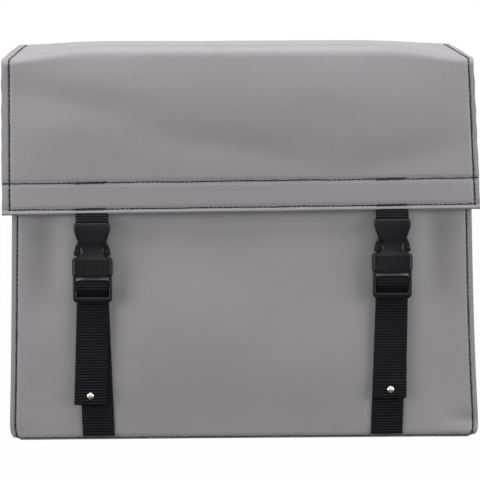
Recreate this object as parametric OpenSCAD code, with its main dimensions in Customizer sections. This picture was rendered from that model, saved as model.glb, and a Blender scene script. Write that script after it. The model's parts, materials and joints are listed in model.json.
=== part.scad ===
// Fire-resistant battery bag: a box-shaped fabric bag with a box lid, held shut by two webbing straps
// with side-release buckles. The front faces -Y and the bag stands on z = 0.

/* [Bag body] */
// Width of the body between its two side seams
body_w = 350; // [250:5:450]
// Height of the body from the floor to its mouth
body_h = 292; // [240:2:380]
// Depth of the body from its front face to its back face
body_d = 100; // [60:2:160]
// Width of the seam allowance that stands out past each side seam
seam_flange = 4; // [2:0.5:6]

/* [Fabric] */
// Thickness of the coated glass fabric
fabric_t = 1.5; // [0.8:0.1:2.2]
// Thickness of the felt lining
liner_t = 2; // [1:0.1:2.6]
// Thickness of the strips that are sewn on as hems
hem_t = 1.2; // [0.6:0.1:2]
// Height of the strip round the inside of the mouth
mouth_hem_h = 20; // [10:1:40]
// Height of the strip on the back panel that the lid hangs on
hinge_strip_h = 25; // [12:1:50]

/* [Lid] */
// Height of the flap's lower edge above the floor, at its middle
flap_edge_h = 178.5; // [165:0.5:195]
// How much lower the flap hangs at its left corner than at its right
flap_slant = 3.2; // [0:0.2:6]
// Outer radius of the soft fold between the lid's top and its flap
fold_r = 7; // [4:0.5:12]
// Slope in degrees of the lid's crowned top where it meets the front fold and the hinge
lid_slope = 17; // [5:1:19]
// Width of the seam allowance along the sides of the lid
lid_flange = 4; // [2:0.5:8]
// Height of the hem inside the flap's lower edge
flap_hem_h = 25; // [15:1:30]
// How far each upper strap is sewn in past the top of the hem
strap_past_hem = 3; // [1:0.5:8]
// Depth below the flap's edge at which the upper strap parts into two layers
strap_bend = 3; // [2:0.5:4]
// Radius of the rolled rear edge that the lid turns on
hinge_r = 1.2; // [1:0.1:2]

/* [Straps] */
// Width of the webbing
web_w = 25; // [20:0.5:32]
// Thickness of the webbing
web_t = 1.6; // [1.2:0.1:1.8]
// Distance of each buckle's middle from the side seam
strap_inset = 58.5; // [40:0.5:90]
// Distance of each anchor strap's lower end from the side seam
anchor_inset = 62; // [40:0.5:90]
// Height of each anchor strap's lower end above the floor
anchor_end_h = 3; // [2:0.5:12]
// Length of the left strap's loose tail
left_tail_l = 80; // [50:0.5:90]
// Length of the right strap's loose tail
right_tail_l = 78.5; // [50:0.5:90]
// How far the left tail's end leans towards the left
left_tail_lean = 2.8; // [0:0.2:6]
// How far the right tail's end leans towards the left
right_tail_lean = 1; // [0:0.2:6]
// Length of the tail's end that is folded forward and riveted
tail_fold_l = 15; // [12:0.5:25]
// Distance of the rivet from the end of the tail
rivet_from_end = 7.5; // [5:0.5:9]
// Diameter of the rivet's head
rivet_d = 5.6; // [4:0.2:7]

/* [Buckles] */
// Length of the socket
socket_l = 40.8; // [38:0.2:46]
// Length of the plug's frame below the socket
plug_l = 21.4; // [21:0.2:25]
// Thickness of the socket
buckle_t = 9.4; // [9.4:0.2:11]
// Height of the block at the socket's mouth
block_h = 13.2; // [12:0.2:16]
// Radius of the round notch on each side of the socket
notch_r = 7.2; // [6.8:0.1:7.4]
// Distance from the flap's lower edge down to the socket
socket_drop = 6.2; // [5:0.2:10]
// Width of the plug's side rails
rail_w = 2.4; // [1.8:0.1:3.5]
// How far each latch stands out past the cavity that it is drawn through
latch_catch = 0.8; // [0.4:0.1:1.2]

/* [Buckle details] */
// Gap between the front panel and the back of the socket
socket_in = 1.2; // [0.8:0.1:2]
// Wall of the socket beside its strap bar
socket_wall = 1.35; // [1:0.05:2]
// Wall of the block at the socket's mouth
block_wall = 2.05; // [1.6:0.05:2.4]
// How far the block stands out past the plug's frame
block_lip = 0.55; // [0.3:0.05:1]
// Distance of the notch's centre inside the side of the block
notch_inset = 0.15; // [0:0.05:0.4]
// How far the notch cuts into the top of the block
notch_dip = 0.3; // [0:0.05:0.6]
// Depth of the socket's strap bar below its top edge
bar_drop = 6; // [5.5:0.1:7]
// Radius of the bars that the webbing goes round
bar_r = 1.5; // [1.2:0.1:1.6]
// Half the thickness of the socket's cavity
cavity_half_t = 2.45; // [2.3:0.05:2.6]
// Half the thickness of the plug's blades
blade_half_t = 2; // [1.5:0.05:2.1]
// Height of the plug's shoulder that shows below the socket
shoulder_lip = 1.2; // [0.8:0.1:2]
// How far the plug's shoulder reaches into the socket
shoulder_in = 3.8; // [3:0.1:5]
// Depth of the tension bar's lower edge below the socket
tension_drop = 10.6; // [9.8:0.1:11.5]
// Height of the tension bar
tension_bar_h = 4.8; // [4:0.1:5]
// Height of the bar at the bottom of the plug
bottom_bar_h = 4.4; // [3:0.1:5]
// How far the webbing behind the plug reaches below it
loop_below = 3.8; // [2:0.1:6]
// Half the width of the plug's guide blade
guide_x = 2.5; // [1.5:0.1:4]
// How far the guide blade stops short of the cavity's end
guide_short = 2; // [1:0.5:8]
// Width of a latch arm
arm_w = 2.4; // [1.8:0.1:2.8]
// Distance of a latch arm's middle inside the cavity's side
arm_inset = 3.2; // [2.6:0.1:4]
// Radius of a latch arm's root
arm_root_r = 1.6; // [1.3:0.1:2]
// Height of a latch arm's root above the plug's shoulder
arm_root_up = 1.5; // [0.8:0.1:2]
// Gap between a latch's top and the end of the cavity
ear_clear = 0.7; // [0.4:0.1:2]
// Height of a latch above the block that it catches on
ear_lift = 1.7; // [0.6:0.1:3]
// Radius of a latch's rounded corners
ear_round_r = 2; // [1:0.1:2.4]

/* [Rivets] */
// Radius of the rivet's shank
rivet_shank_r = 1.5; // [1:0.1:1.9]
// Height of the rivet's domed head
rivet_dome_h = 1.4; // [0.8:0.1:1.8]
// Gap between the shank and its hole in the webbing
rivet_hole_gap = 0.15; // [0.05:0.05:0.3]
// Thickness of the cap behind the tail
rivet_cap_t = 0.9; // [0.6:0.1:1.2]

/* [Clearances] */
// Gap between the lid and the body that it closes over
lid_gap = 0.8; // [0.4:0.1:2]
// Gap between the sides of the lid and the body's seam allowance
lid_side_gap = 0.6; // [0.4:0.1:2]
// Gap between pieces that move past each other
run_gap = 0.3; // [0.2:0.05:0.6]
// Gap on each side of the webbing in its slots
web_gap = 0.2; // [0.1:0.05:0.5]
// Gap between the rivet's cap and the anchor strap behind it
cap_clear = 0.4; // [0.3:0.05:0.8]
// Gap between the lid's rolled edge and the strip behind which it turns
hinge_clear = 0.9; // [0.8:0.1:1.5]

/* [Hidden] */
$fn = 48;
LEFT = -1;
RIGHT = 1;
// How far a cutting shape reaches past the face that it cuts
over = 1;
// How far an edge is drawn in so that it ends inside its neighbour
tuck = 0.1;

// Offsets in front of the body's front face, measured towards the viewer
flap_in = lid_gap + web_t + hem_t;
flap_out = flap_in + fabric_t;
tail_in = web_t + cap_clear + rivet_cap_t;
tail_out = tail_in + web_t;
socket_out = socket_in + buckle_t;
buckle_mid = socket_in + buckle_t / 2;

// Places of the body in the frame, with the whole object centred front to back
hinge_out = hem_t + hinge_clear;
depth_all = socket_out + body_d + hinge_out + hinge_r;
front_y = socket_out - depth_all / 2;
back_y = front_y + body_d;
front_in_y = front_y + fabric_t;
back_in_y = back_y - fabric_t;
seam_x = body_w / 2;
wall_x = seam_x - fabric_t;
flange_x = seam_x + seam_flange;
room_x = wall_x - liner_t;
room_front_y = front_in_y + liner_t;
room_back_y = back_in_y - liner_t;

// Places of the lid
cheek_in_x = flange_x + lid_side_gap;
cheek_out_x = cheek_in_x + fabric_t;
lid_x = cheek_out_x + lid_flange;
lid_liner_z = body_h + lid_gap;
lid_under_z = lid_liner_z + liner_t;
lid_top_z = lid_under_z + fabric_t;
hinge_y = back_y + hinge_out;
hinge_z = lid_top_z - fabric_t / 2;
flap_in_y = front_y - flap_in;
fold_y = front_y - flap_out + fold_r;
fold_z = lid_top_z - fold_r * cos(lid_slope);
slant_angle = atan(flap_slant / (2 * lid_x));

// The lid's crowned top: part of a large circle that runs from the front fold to the hinge
crown_front_y = fold_y - fold_r * sin(lid_slope);
crown_r = (hinge_y - crown_front_y) / (2 * sin(lid_slope));
crown_y = (hinge_y + crown_front_y) / 2;
crown_z = lid_top_z - crown_r * cos(lid_slope);
// Facets of that circle, more than elsewhere because it is so large
crown_facets = 192;

// Webbing slots and the buckle's widths
strap_x = seam_x - strap_inset;
anchor_x = seam_x - anchor_inset;
slot_x = web_w / 2 + web_gap;
socket_x = slot_x + socket_wall;
plug_x = slot_x + rail_w;
block_x = plug_x + block_lip;
cavity_x = block_x - block_wall;
notch_x = block_x - notch_inset;

// Heights inside the buckle, measured from the socket's top edge
wrap_in_r = bar_r + web_gap;
wrap_out_r = wrap_in_r + web_t;
socket_bar_z = -bar_drop;
window_z = socket_bar_z - wrap_out_r - 2 * run_gap;
block_z = block_h - socket_l;
notch_z = block_z + notch_r - notch_dip;
cavity_top_z = notch_z + sqrt(pow(notch_r, 2) - pow(notch_x - cavity_x, 2)) - tuck;
mouth_z = -socket_l;
shoulder_low_z = mouth_z - shoulder_lip;
shoulder_top_z = mouth_z + shoulder_in;
tension_low_z = mouth_z - tension_drop;
tension_axis_z = tension_low_z + tension_bar_h - bar_r;
plug_low_z = mouth_z - plug_l;
bottom_bar_z = plug_low_z + bottom_bar_h;
tail_axis_z = plug_low_z - run_gap - web_t / 2;
loop_low_z = plug_low_z - loop_below;

// The cavity and the blades that slide in it
plug_front = buckle_mid + wrap_out_r;
plug_back = tail_out + run_gap;
arm_x = cavity_x - arm_inset;
arm_root_z = shoulder_top_z + arm_root_up;
ear_x = cavity_x + latch_catch;
ear_top_z = cavity_top_z - ear_clear;
ear_low_z = block_z + ear_lift;
strap_sewn_h = flap_hem_h + strap_past_hem;

function flap_edge_z(x) = flap_edge_h + flap_slant * x / (2 * lid_x);
function socket_top_z(side) = flap_edge_z(side * strap_x) - socket_drop;
function tail_l(side) = side == LEFT ? left_tail_l : right_tail_l;
function tail_lean(side) = side == LEFT ? left_tail_lean : right_tail_lean;
function tail_end_z(side) = tail_axis_z - tail_l(side);
function tail_shift(side, z) = -tail_lean(side) * (tail_axis_z - z) / tail_l(side);
function rivet_z(side) = tail_end_z(side) + rivet_from_end;

// Colours as the bag shows them
fabric_colour = [0.59, 0.58, 0.59];
liner_colour = [0.72, 0.71, 0.69];
webbing_colour = [0.1, 0.1, 0.12];
plastic_colour = [0.17, 0.165, 0.18];
rivet_colour = [0.8, 0.75, 0.7];

// A block between two corners
module block(low, high) {
    translate(low) cube(high - low);
}

// An outline in (offset in front of the front face, height), drawn out evenly to both sides in x
module across(width) {
    rotate([90, 0, -90]) linear_extrude(width, center = true) children();
}

// An outline in (x, height), drawn out from one offset in front of the front face to another
module facing(from, to) {
    translate([0, -from, 0]) rotate([90, 0, 0]) linear_extrude(to - from) children();
}

// Moves a buckle's or strap's shape to its side of the bag
module at_strap(side) {
    translate([side * strap_x, front_y, socket_top_z(side)]) children();
}

// Everything below the flap's slanted lower edge
module below_flap_edge() {
    translate([0, 0, flap_edge_h]) rotate([0, -slant_angle, 0])
        block([-2 * lid_x, front_y - body_d, -lid_top_z], [2 * lid_x, back_y + body_d, 0]);
}

// Body pieces
module wall_panel(y) {
    block([-flange_x, y, 0], [flange_x, y + fabric_t, body_h]);
}

module front_panel() {
    color(fabric_colour) wall_panel(front_y);
}

module back_panel() {
    color(fabric_colour) wall_panel(back_in_y);
}

// A side wall with its seam allowances turned outwards behind those of the front and back panels
module gusset(side) {
    mirror([side == LEFT ? 1 : 0, 0, 0]) linear_extrude(body_h) polygon([
        [wall_x, front_in_y], [flange_x, front_in_y], [flange_x, front_in_y + fabric_t],
        [seam_x, front_in_y + fabric_t], [seam_x, back_in_y - fabric_t],
        [flange_x, back_in_y - fabric_t], [flange_x, back_in_y], [wall_x, back_in_y]
    ]);
}

module left_gusset() {
    color(fabric_colour) gusset(LEFT);
}

module right_gusset() {
    color(fabric_colour) gusset(RIGHT);
}

module base_panel() {
    color(fabric_colour) block([-wall_x, front_in_y, 0], [wall_x, back_in_y, fabric_t]);
}

module front_liner() {
    color(liner_colour) block([-wall_x, front_in_y, fabric_t], [wall_x, room_front_y, body_h]);
}

module back_liner() {
    color(liner_colour) block([-wall_x, room_back_y, fabric_t], [wall_x, back_in_y, body_h]);
}

module side_liner(side) {
    mirror([side == LEFT ? 1 : 0, 0, 0])
        block([room_x, room_front_y, fabric_t], [wall_x, room_back_y, body_h]);
}

module left_liner() {
    color(liner_colour) side_liner(LEFT);
}

module right_liner() {
    color(liner_colour) side_liner(RIGHT);
}

module base_liner() {
    color(liner_colour)
        block([-room_x, room_front_y, fabric_t], [room_x, room_back_y, fabric_t + liner_t]);
}

// Four strips round the inside of the mouth
module mouth_hem() {
    low_z = body_h - mouth_hem_h;
    color(fabric_colour) {
        block([-room_x, room_front_y, low_z], [room_x, room_front_y + hem_t, body_h]);
        block([-room_x, room_back_y - hem_t, low_z], [room_x, room_back_y, body_h]);
        for (side = [0, 1])
            mirror([side, 0, 0])
                block([room_x - hem_t, room_front_y + hem_t, low_z], [room_x, room_back_y - hem_t, body_h]);
    }
}

// Strip on the back panel, just below the rolled edge that the lid turns on
module lid_hinge_strip() {
    top_z = min(hinge_z - hinge_r - run_gap, body_h);
    color(fabric_colour)
        block([-flange_x, back_y, top_z - hinge_strip_h], [flange_x, back_y + hem_t, top_z]);
}

// Lower strap, flat on the front panel, from the buckle down to the base seam
module anchor_strap(side) {
    top_z = socket_top_z(side) + loop_low_z - run_gap;
    translate([0, front_y, 0]) facing(0, web_t) polygon([
        [side * strap_x - web_w / 2, top_z], [side * strap_x + web_w / 2, top_z],
        [side * anchor_x + web_w / 2, anchor_end_h], [side * anchor_x - web_w / 2, anchor_end_h]
    ]);
}

module left_anchor_strap() {
    color(webbing_colour) anchor_strap(LEFT);
}

module right_anchor_strap() {
    color(webbing_colour) anchor_strap(RIGHT);
}

// Lid pieces
module lid_panel() {
    color(fabric_colour) difference() {
        union() {
            translate([0, crown_y, crown_z]) across(2 * lid_x) crown_outline();
            translate([0, fold_y, fold_z]) across(2 * lid_x) fold_outline();
            block([-lid_x, flap_in_y - fabric_t, 0], [lid_x, flap_in_y, fold_z]);
            translate([0, hinge_y, hinge_z]) rotate([0, 90, 0])
                cylinder(r = hinge_r, h = 2 * lid_x, center = true);
        }
        below_flap_edge();
    }
}

// The crowned top seen from the side
module crown_outline() {
    reach = 2 * crown_r;
    intersection() {
        difference() {
            circle(crown_r, $fn = crown_facets);
            circle(crown_r - fabric_t, $fn = crown_facets);
        }
        polygon([
            [0, 0], [reach * sin(lid_slope), reach * cos(lid_slope)],
            [-reach * sin(lid_slope), reach * cos(lid_slope)]
        ]);
    }
}

// The fold seen from the side, from the flap up to where the crowned top begins
module fold_outline() {
    reach = 2 * fold_r;
    intersection() {
        difference() {
            circle(fold_r);
            circle(fold_r - fabric_t);
        }
        polygon([
            [0, 0], [reach, 0], [reach, reach], [reach * sin(lid_slope), reach * cos(lid_slope)]
        ]);
    }
}

// Everything that lies deeper under the lid's crowned top than a given depth
module under_crown(depth) {
    translate([0, crown_y, crown_z]) rotate([0, 90, 0])
        cylinder(r = crown_r - depth, h = 4 * lid_x, center = true, $fn = crown_facets);
}

// A layer of cloth between two corners, bent along the underside of the lid's crowned top
module crown_layer(low, high, depth, thickness) {
    intersection() {
        block(low, high);
        difference() {
            under_crown(depth);
            under_crown(depth + thickness);
        }
    }
}

// A lid side with its seam allowance turned outwards behind the flap and under the lid's top
module lid_cheek(side) {
    rear_y = hinge_y - hinge_r - over;
    above_z = crown_z + crown_r;
    mirror([side == LEFT ? 1 : 0, 0, 0]) {
        intersection() {
            block([cheek_in_x, fold_y, 0], [cheek_out_x, rear_y, above_z]);
            under_crown(fabric_t);
        }
        block([cheek_in_x, flap_in_y, 0], [cheek_out_x, fold_y, fold_z]);
        block([cheek_out_x, flap_in_y, 0], [lid_x, flap_in_y + fabric_t, fold_z]);
        crown_layer([cheek_out_x, fold_y, fold_z], [lid_x, rear_y, above_z], fabric_t, fabric_t);
    }
}

module lid_left_cheek() {
    color(fabric_colour) difference() {
        lid_cheek(LEFT);
        below_flap_edge();
    }
}

module lid_right_cheek() {
    color(fabric_colour) difference() {
        lid_cheek(RIGHT);
        below_flap_edge();
    }
}

module lid_top_liner() {
    color(liner_colour) crown_layer(
        [-flange_x, fold_y, fold_z], [flange_x, back_y, crown_z + crown_r], fabric_t, liner_t
    );
}

module lid_flap_liner() {
    low_z = flap_edge_z(lid_x) + strap_sewn_h + over;
    liner_in = max(flap_in - liner_t, run_gap);
    color(liner_colour) block(
        [-flange_x, flap_in_y, low_z],
        [flange_x, front_y - liner_in, fold_z]
    );
}

module lid_hem() {
    color(fabric_colour) difference() {
        block(
            [-flange_x, flap_in_y, 0],
            [flange_x, flap_in_y + hem_t, flap_edge_h - flap_slant / 2 + flap_hem_h]
        );
        below_flap_edge();
    }
}

// Upper strap: sewn flat inside the flap, then round the socket's bar and back up
module upper_strap() {
    sewn_out = lid_gap + web_t;
    wedge_r = wrap_out_r - tuck;
    eye_r = wrap_in_r - tuck;
    color(webbing_colour) difference() {
        union() {
            across(web_w) polygon([
                [buckle_mid - wedge_r, socket_bar_z], [lid_gap, socket_drop - strap_bend],
                [lid_gap, socket_drop + strap_sewn_h], [sewn_out, socket_drop + strap_sewn_h],
                [sewn_out, socket_drop - over], [buckle_mid + wedge_r, socket_bar_z]
            ]);
            socket_bar_round(wrap_out_r, web_w);
        }
        socket_bar_round(wrap_in_r, web_w + over);
        across(web_w + over) polygon([
            [buckle_mid - eye_r, socket_bar_z], [sewn_out + web_gap, socket_drop - strap_bend - web_t],
            [buckle_mid + eye_r, socket_bar_z]
        ]);
    }
}

// A round bar on the axis of the socket's strap bar
module socket_bar_round(radius, length) {
    translate([0, -buckle_mid, socket_bar_z]) rotate([0, 90, 0])
        cylinder(r = radius, h = length, center = true);
}

module left_upper_strap() {
    at_strap(LEFT) upper_strap();
}

module right_upper_strap() {
    at_strap(RIGHT) upper_strap();
}

// Buckle pieces
module socket_outline() {
    difference() {
        union() {
            translate([-socket_x, block_z - over]) square([2 * socket_x, over - block_z]);
            translate([-block_x, mouth_z]) square([2 * block_x, block_h]);
        }
        for (side = [LEFT, RIGHT])
            translate([side * notch_x, notch_z]) circle(notch_r);
    }
}

// Socket: a sleeve open at its mouth and at the notches, with a bar at the top that the strap goes round
module buckle_socket() {
    color(plastic_colour) {
        difference() {
            facing(socket_in, socket_out) socket_outline();
            block(
                [-cavity_x, -buckle_mid - cavity_half_t, mouth_z - over],
                [cavity_x, -buckle_mid + cavity_half_t, cavity_top_z]
            );
            block(
                [-slot_x, -buckle_mid - wrap_out_r - web_gap / 2, window_z],
                [slot_x, over, over]
            );
        }
        socket_bar_round(bar_r, 2 * slot_x + socket_wall);
    }
}

module left_buckle_socket() {
    at_strap(LEFT) buckle_socket();
}

module right_buckle_socket() {
    at_strap(RIGHT) buckle_socket();
}

// Plug: a frame with a tension bar and a bottom bar, a shoulder in the socket's mouth and a guide blade
module buckle_plug() {
    shoulder_x = cavity_x - run_gap;
    blade_in = -buckle_mid + blade_half_t;
    blade_out = -buckle_mid - blade_half_t;
    color(plastic_colour) difference() {
        union() {
            for (side = [0, 1])
                mirror([side, 0, 0])
                    block([slot_x, -plug_front, plug_low_z], [plug_x, -plug_back, mouth_z - run_gap]);
            block([-plug_x, -plug_front, plug_low_z], [plug_x, -plug_back, bottom_bar_z]);
            block([-plug_x, -plug_front, shoulder_low_z], [plug_x, -plug_back, mouth_z - run_gap]);
            block([-shoulder_x, blade_out, shoulder_low_z], [shoulder_x, blade_in, shoulder_top_z]);
            block(
                [-guide_x, blade_out, shoulder_top_z - over],
                [guide_x, blade_in, cavity_top_z - guide_short]
            );
            across(2 * slot_x + over) tension_bar_outline();
        }
        for (side = [LEFT, RIGHT])
            arm_root_seat(side);
    }
}

module tension_bar_outline() {
    translate([buckle_mid, tension_axis_z]) circle(bar_r);
    translate([buckle_mid - bar_r, tension_low_z]) square([2 * bar_r, tension_bar_h - bar_r]);
}

// Space in the plug's shoulder for the round root of a latch arm
module arm_root_seat(side) {
    translate([side * arm_x, -buckle_mid, arm_root_z]) rotate([90, 0, 0])
        cylinder(r = arm_root_r + run_gap, h = 4 * blade_half_t, center = true);
}

module left_buckle_plug() {
    at_strap(LEFT) buckle_plug();
}

module right_buckle_plug() {
    at_strap(RIGHT) buckle_plug();
}

// Latch arm: a springy blade on a round root, with an ear that stands in the socket's notch
module latch_arm(side) {
    outer_x = arm_x + arm_w / 2;
    color(plastic_colour) mirror([side == LEFT ? 1 : 0, 0, 0])
        facing(buckle_mid - blade_half_t, buckle_mid + blade_half_t) {
            translate([arm_x, arm_root_z]) circle(arm_root_r);
            translate([arm_x - arm_w / 2, arm_root_z]) square([arm_w, ear_top_z - arm_root_z]);
            translate([outer_x - over, ear_low_z])
                square([ear_x - ear_round_r - outer_x + over, ear_top_z - ear_low_z]);
            translate([outer_x - over, ear_low_z + ear_round_r])
                square([ear_x - outer_x + over, ear_top_z - ear_low_z - 2 * ear_round_r]);
            for (z = [ear_low_z + ear_round_r, ear_top_z - ear_round_r])
                translate([ear_x - ear_round_r, z]) circle(ear_round_r);
        }
}

module left_outer_latch_arm() {
    at_strap(LEFT) latch_arm(LEFT);
}

module left_inner_latch_arm() {
    at_strap(LEFT) latch_arm(RIGHT);
}

module right_outer_latch_arm() {
    at_strap(RIGHT) latch_arm(RIGHT);
}

module right_inner_latch_arm() {
    at_strap(RIGHT) latch_arm(LEFT);
}

// Webbing of the lower strap where it goes up behind the frame, over the tension bar and down to the tail
module strap_loop() {
    rear_off = buckle_mid - wrap_out_r;
    front_off = buckle_mid + wrap_in_r;
    lap_z = tension_low_z + over;
    slot_z = tension_low_z - run_gap;
    color(webbing_colour) {
        difference() {
            across(web_w) bar_wrap(wrap_out_r, tension_low_z);
            across(web_w + over) bar_wrap(wrap_in_r, tension_low_z - over);
        }
        across(web_w) polygon([
            [rear_off, lap_z], [rear_off + web_t, lap_z],
            [rear_off + web_t, tension_low_z], [web_t + web_gap, loop_low_z],
            [web_gap, loop_low_z], [rear_off, tension_low_z]
        ]);
        across(web_w) polygon([
            [front_off, lap_z], [front_off + web_t, lap_z],
            [front_off + web_t, slot_z], [tail_out, bottom_bar_z + run_gap],
            [tail_out, plug_low_z], [tail_in, plug_low_z],
            [tail_in, bottom_bar_z], [front_off, slot_z]
        ]);
    }
}

// An arch over the tension bar, open below
module bar_wrap(radius, low_z) {
    translate([buckle_mid, tension_axis_z]) circle(radius);
    translate([buckle_mid - radius, low_z]) square([2 * radius, tension_axis_z - low_z]);
}

module left_strap_loop() {
    at_strap(LEFT) strap_loop();
}

module right_strap_loop() {
    at_strap(RIGHT) strap_loop();
}

// Loose tail: a round top edge that it swings on, one layer down, and the last stretch folded forward
module strap_tail(side) {
    color(webbing_colour) difference() {
        intersection() {
            wide_tail(side, web_w + 2 * tail_lean(side) + 2 * over);
            facing(tail_in - over, tail_out + web_t + over) tail_outline(side);
        }
        rivet_bar(side, rivet_shank_r + rivet_hole_gap, 2 * web_t + over, tail_in - over / 2);
    }
}

// The tail's layers before its sides are trimmed
module wide_tail(side, width) {
    end_z = tail_end_z(side);
    fold_z = end_z + web_t;
    tail_edge(width, tail_in + web_t / 2, tail_axis_z, web_t / 2);
    block([-width / 2, -tail_out, fold_z], [width / 2, -tail_in, tail_axis_z]);
    block([-width / 2, -tail_out - web_t, fold_z], [width / 2, -tail_out, end_z + tail_fold_l]);
    tail_edge(width, tail_out, fold_z, web_t);
}

// A round edge across the tail
module tail_edge(width, off, z, radius) {
    translate([0, -off, z]) rotate([0, 90, 0]) cylinder(r = radius, h = width, center = true);
}

// Leaning outline of the tail from the front
module tail_outline(side) {
    top_z = tail_axis_z + web_t;
    low_z = tail_end_z(side) - over;
    top_x = tail_shift(side, top_z);
    low_x = tail_shift(side, low_z);
    polygon([
        [top_x - web_w / 2, top_z], [top_x + web_w / 2, top_z],
        [low_x + web_w / 2, low_z], [low_x - web_w / 2, low_z]
    ]);
}

// A round bar on the rivet's axis, starting at an offset in front of the front face
module rivet_bar(side, radius, length, from) {
    z = rivet_z(side);
    translate([tail_shift(side, z), -from, z]) rotate([90, 0, 0]) cylinder(r = radius, h = length);
}

module left_strap_tail() {
    at_strap(LEFT) strap_tail(LEFT);
}

module right_strap_tail() {
    at_strap(RIGHT) strap_tail(RIGHT);
}

// Rivet: a low domed head in front of the folded tail, with its shank through both layers
module tail_rivet(side) {
    head_off = tail_out + web_t;
    dome_r = (pow(rivet_d / 2, 2) + pow(rivet_dome_h, 2)) / (2 * rivet_dome_h);
    color(rivet_colour) {
        rivet_bar(side, rivet_shank_r, head_off - tail_in + rivet_cap_t / 2, tail_in - rivet_cap_t / 2);
        intersection() {
            translate([tail_shift(side, rivet_z(side)), -head_off - rivet_dome_h + dome_r, rivet_z(side)])
                sphere(dome_r);
            rivet_bar(side, rivet_d / 2 + over, rivet_dome_h + over, head_off);
        }
    }
}

module left_tail_rivet() {
    at_strap(LEFT) tail_rivet(LEFT);
}

module right_tail_rivet() {
    at_strap(RIGHT) tail_rivet(RIGHT);
}

// Cap pressed on the shank behind the tail
module rivet_cap(side) {
    cap_off = tail_in - rivet_cap_t;
    color(rivet_colour) difference() {
        rivet_bar(side, rivet_d / 2, rivet_cap_t, cap_off);
        rivet_bar(side, rivet_shank_r, rivet_cap_t / 2 + over, cap_off + rivet_cap_t / 2);
    }
}

module left_rivet_cap() {
    at_strap(LEFT) rivet_cap(LEFT);
}

module right_rivet_cap() {
    at_strap(RIGHT) rivet_cap(RIGHT);
}

front_panel();
back_panel();
left_gusset();
right_gusset();
base_panel();
front_liner();
back_liner();
left_liner();
right_liner();
base_liner();
mouth_hem();
lid_hinge_strip();
left_anchor_strap();
right_anchor_strap();
lid_panel();
lid_left_cheek();
lid_right_cheek();
lid_top_liner();
lid_flap_liner();
lid_hem();
left_upper_strap();
right_upper_strap();
left_buckle_socket();
right_buckle_socket();
left_buckle_plug();
right_buckle_plug();
left_strap_loop();
right_strap_loop();
left_outer_latch_arm();
left_inner_latch_arm();
right_outer_latch_arm();
right_inner_latch_arm();
left_strap_tail();
right_strap_tail();
left_tail_rivet();
right_tail_rivet();
left_rivet_cap();
right_rivet_cap();
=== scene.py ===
"""Battery safe bag: cloth, lining, webbing, buckles, stitching and stage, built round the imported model."""

import json
import math
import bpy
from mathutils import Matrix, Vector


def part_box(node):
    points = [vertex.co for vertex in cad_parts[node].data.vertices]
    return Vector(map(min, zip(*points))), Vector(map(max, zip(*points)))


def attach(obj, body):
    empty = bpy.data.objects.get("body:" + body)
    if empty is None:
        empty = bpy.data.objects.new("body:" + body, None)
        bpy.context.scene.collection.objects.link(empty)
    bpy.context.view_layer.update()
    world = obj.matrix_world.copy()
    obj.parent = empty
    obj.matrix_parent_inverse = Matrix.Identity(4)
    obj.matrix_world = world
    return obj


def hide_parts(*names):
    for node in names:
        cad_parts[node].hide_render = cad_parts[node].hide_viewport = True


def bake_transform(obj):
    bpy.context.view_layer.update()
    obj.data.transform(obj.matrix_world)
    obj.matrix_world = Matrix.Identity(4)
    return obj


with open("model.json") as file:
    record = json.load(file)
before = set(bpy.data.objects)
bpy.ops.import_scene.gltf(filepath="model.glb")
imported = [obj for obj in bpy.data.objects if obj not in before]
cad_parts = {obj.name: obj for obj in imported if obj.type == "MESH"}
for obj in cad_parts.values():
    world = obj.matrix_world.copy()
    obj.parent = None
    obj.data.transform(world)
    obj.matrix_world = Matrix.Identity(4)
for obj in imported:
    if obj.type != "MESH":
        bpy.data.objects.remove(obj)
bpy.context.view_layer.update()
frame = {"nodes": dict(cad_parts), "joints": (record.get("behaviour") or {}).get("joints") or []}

from types import SimpleNamespace

import bmesh
import bpy
import numpy as np
from mathutils import Matrix, Vector, noise

bl_info = {
    "name": "Battery Safe Bag",
    "version": (1, 0, 0),
    "blender": (4, 5, 0),
    "location": "View3D > Sidebar > Bag",
    "description": "Builds the cloth, webbing, buckles and stitching of a battery safe bag",
    "category": "Add Mesh",
}

# Places taken from the frame, in metres
SIDES = {"left": -1, "right": 1}
JOINTS = {joint["name"]: joint for joint in frame["joints"]}


def low(node):
    """Lowest corner of a CAD node."""
    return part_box(node)[0]


def high(node):
    """Highest corner of a CAD node."""
    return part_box(node)[1]


FRONT = low("front_panel").y
BACK = high("back_panel").y
MIDDLE = (FRONT + BACK) / 2
HALF_DEPTH = (BACK - FRONT) / 2
MOUTH = high("front_panel").z
CLOTH = high("front_panel").y - FRONT
FELT = high("front_liner").y - low("front_liner").y
HEM = high("lid_hem").y - low("lid_hem").y
WEB = high("left_anchor_strap").y - low("left_anchor_strap").y
WEB_WIDTH = high("left_upper_strap").x - low("left_upper_strap").x
FLANGE = high("front_panel").x
SEAM = high("base_panel").x + CLOTH
ROOM = high("base_liner").x
HINGE = Vector(JOINTS["lid_hinge"]["pos_m"])
BEAD = high("lid_panel").y - HINGE.y
LID_EDGE = high("lid_panel").x
CHEEK = low("lid_right_cheek").x + CLOTH
LID_TOP = HINGE.z + CLOTH / 2
FLAP = low("lid_panel").y
LEFT_CORNER = low("lid_left_cheek").z
RIGHT_CORNER = low("lid_right_cheek").z


def strap_x(side):
    """Middle of a buckle."""
    return JOINTS[side + "_tail_swing"]["pos_m"][0]


def socket_top(side):
    """Top edge of a buckle's socket."""
    return high(side + "_buckle_socket").z


def flap_edge(x):
    """Height of the flap's slanted lower edge."""
    share = (x + LID_EDGE) / (LID_EDGE + CHEEK - CLOTH)
    return LEFT_CORNER + (RIGHT_CORNER - LEFT_CORNER) * share


# Sizes and colours that a user would change
def length(name, description, default):
    """A size in metres."""
    return bpy.props.FloatProperty(name=name, description=description, default=default, unit="LENGTH",
                                   precision=5)


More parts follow.
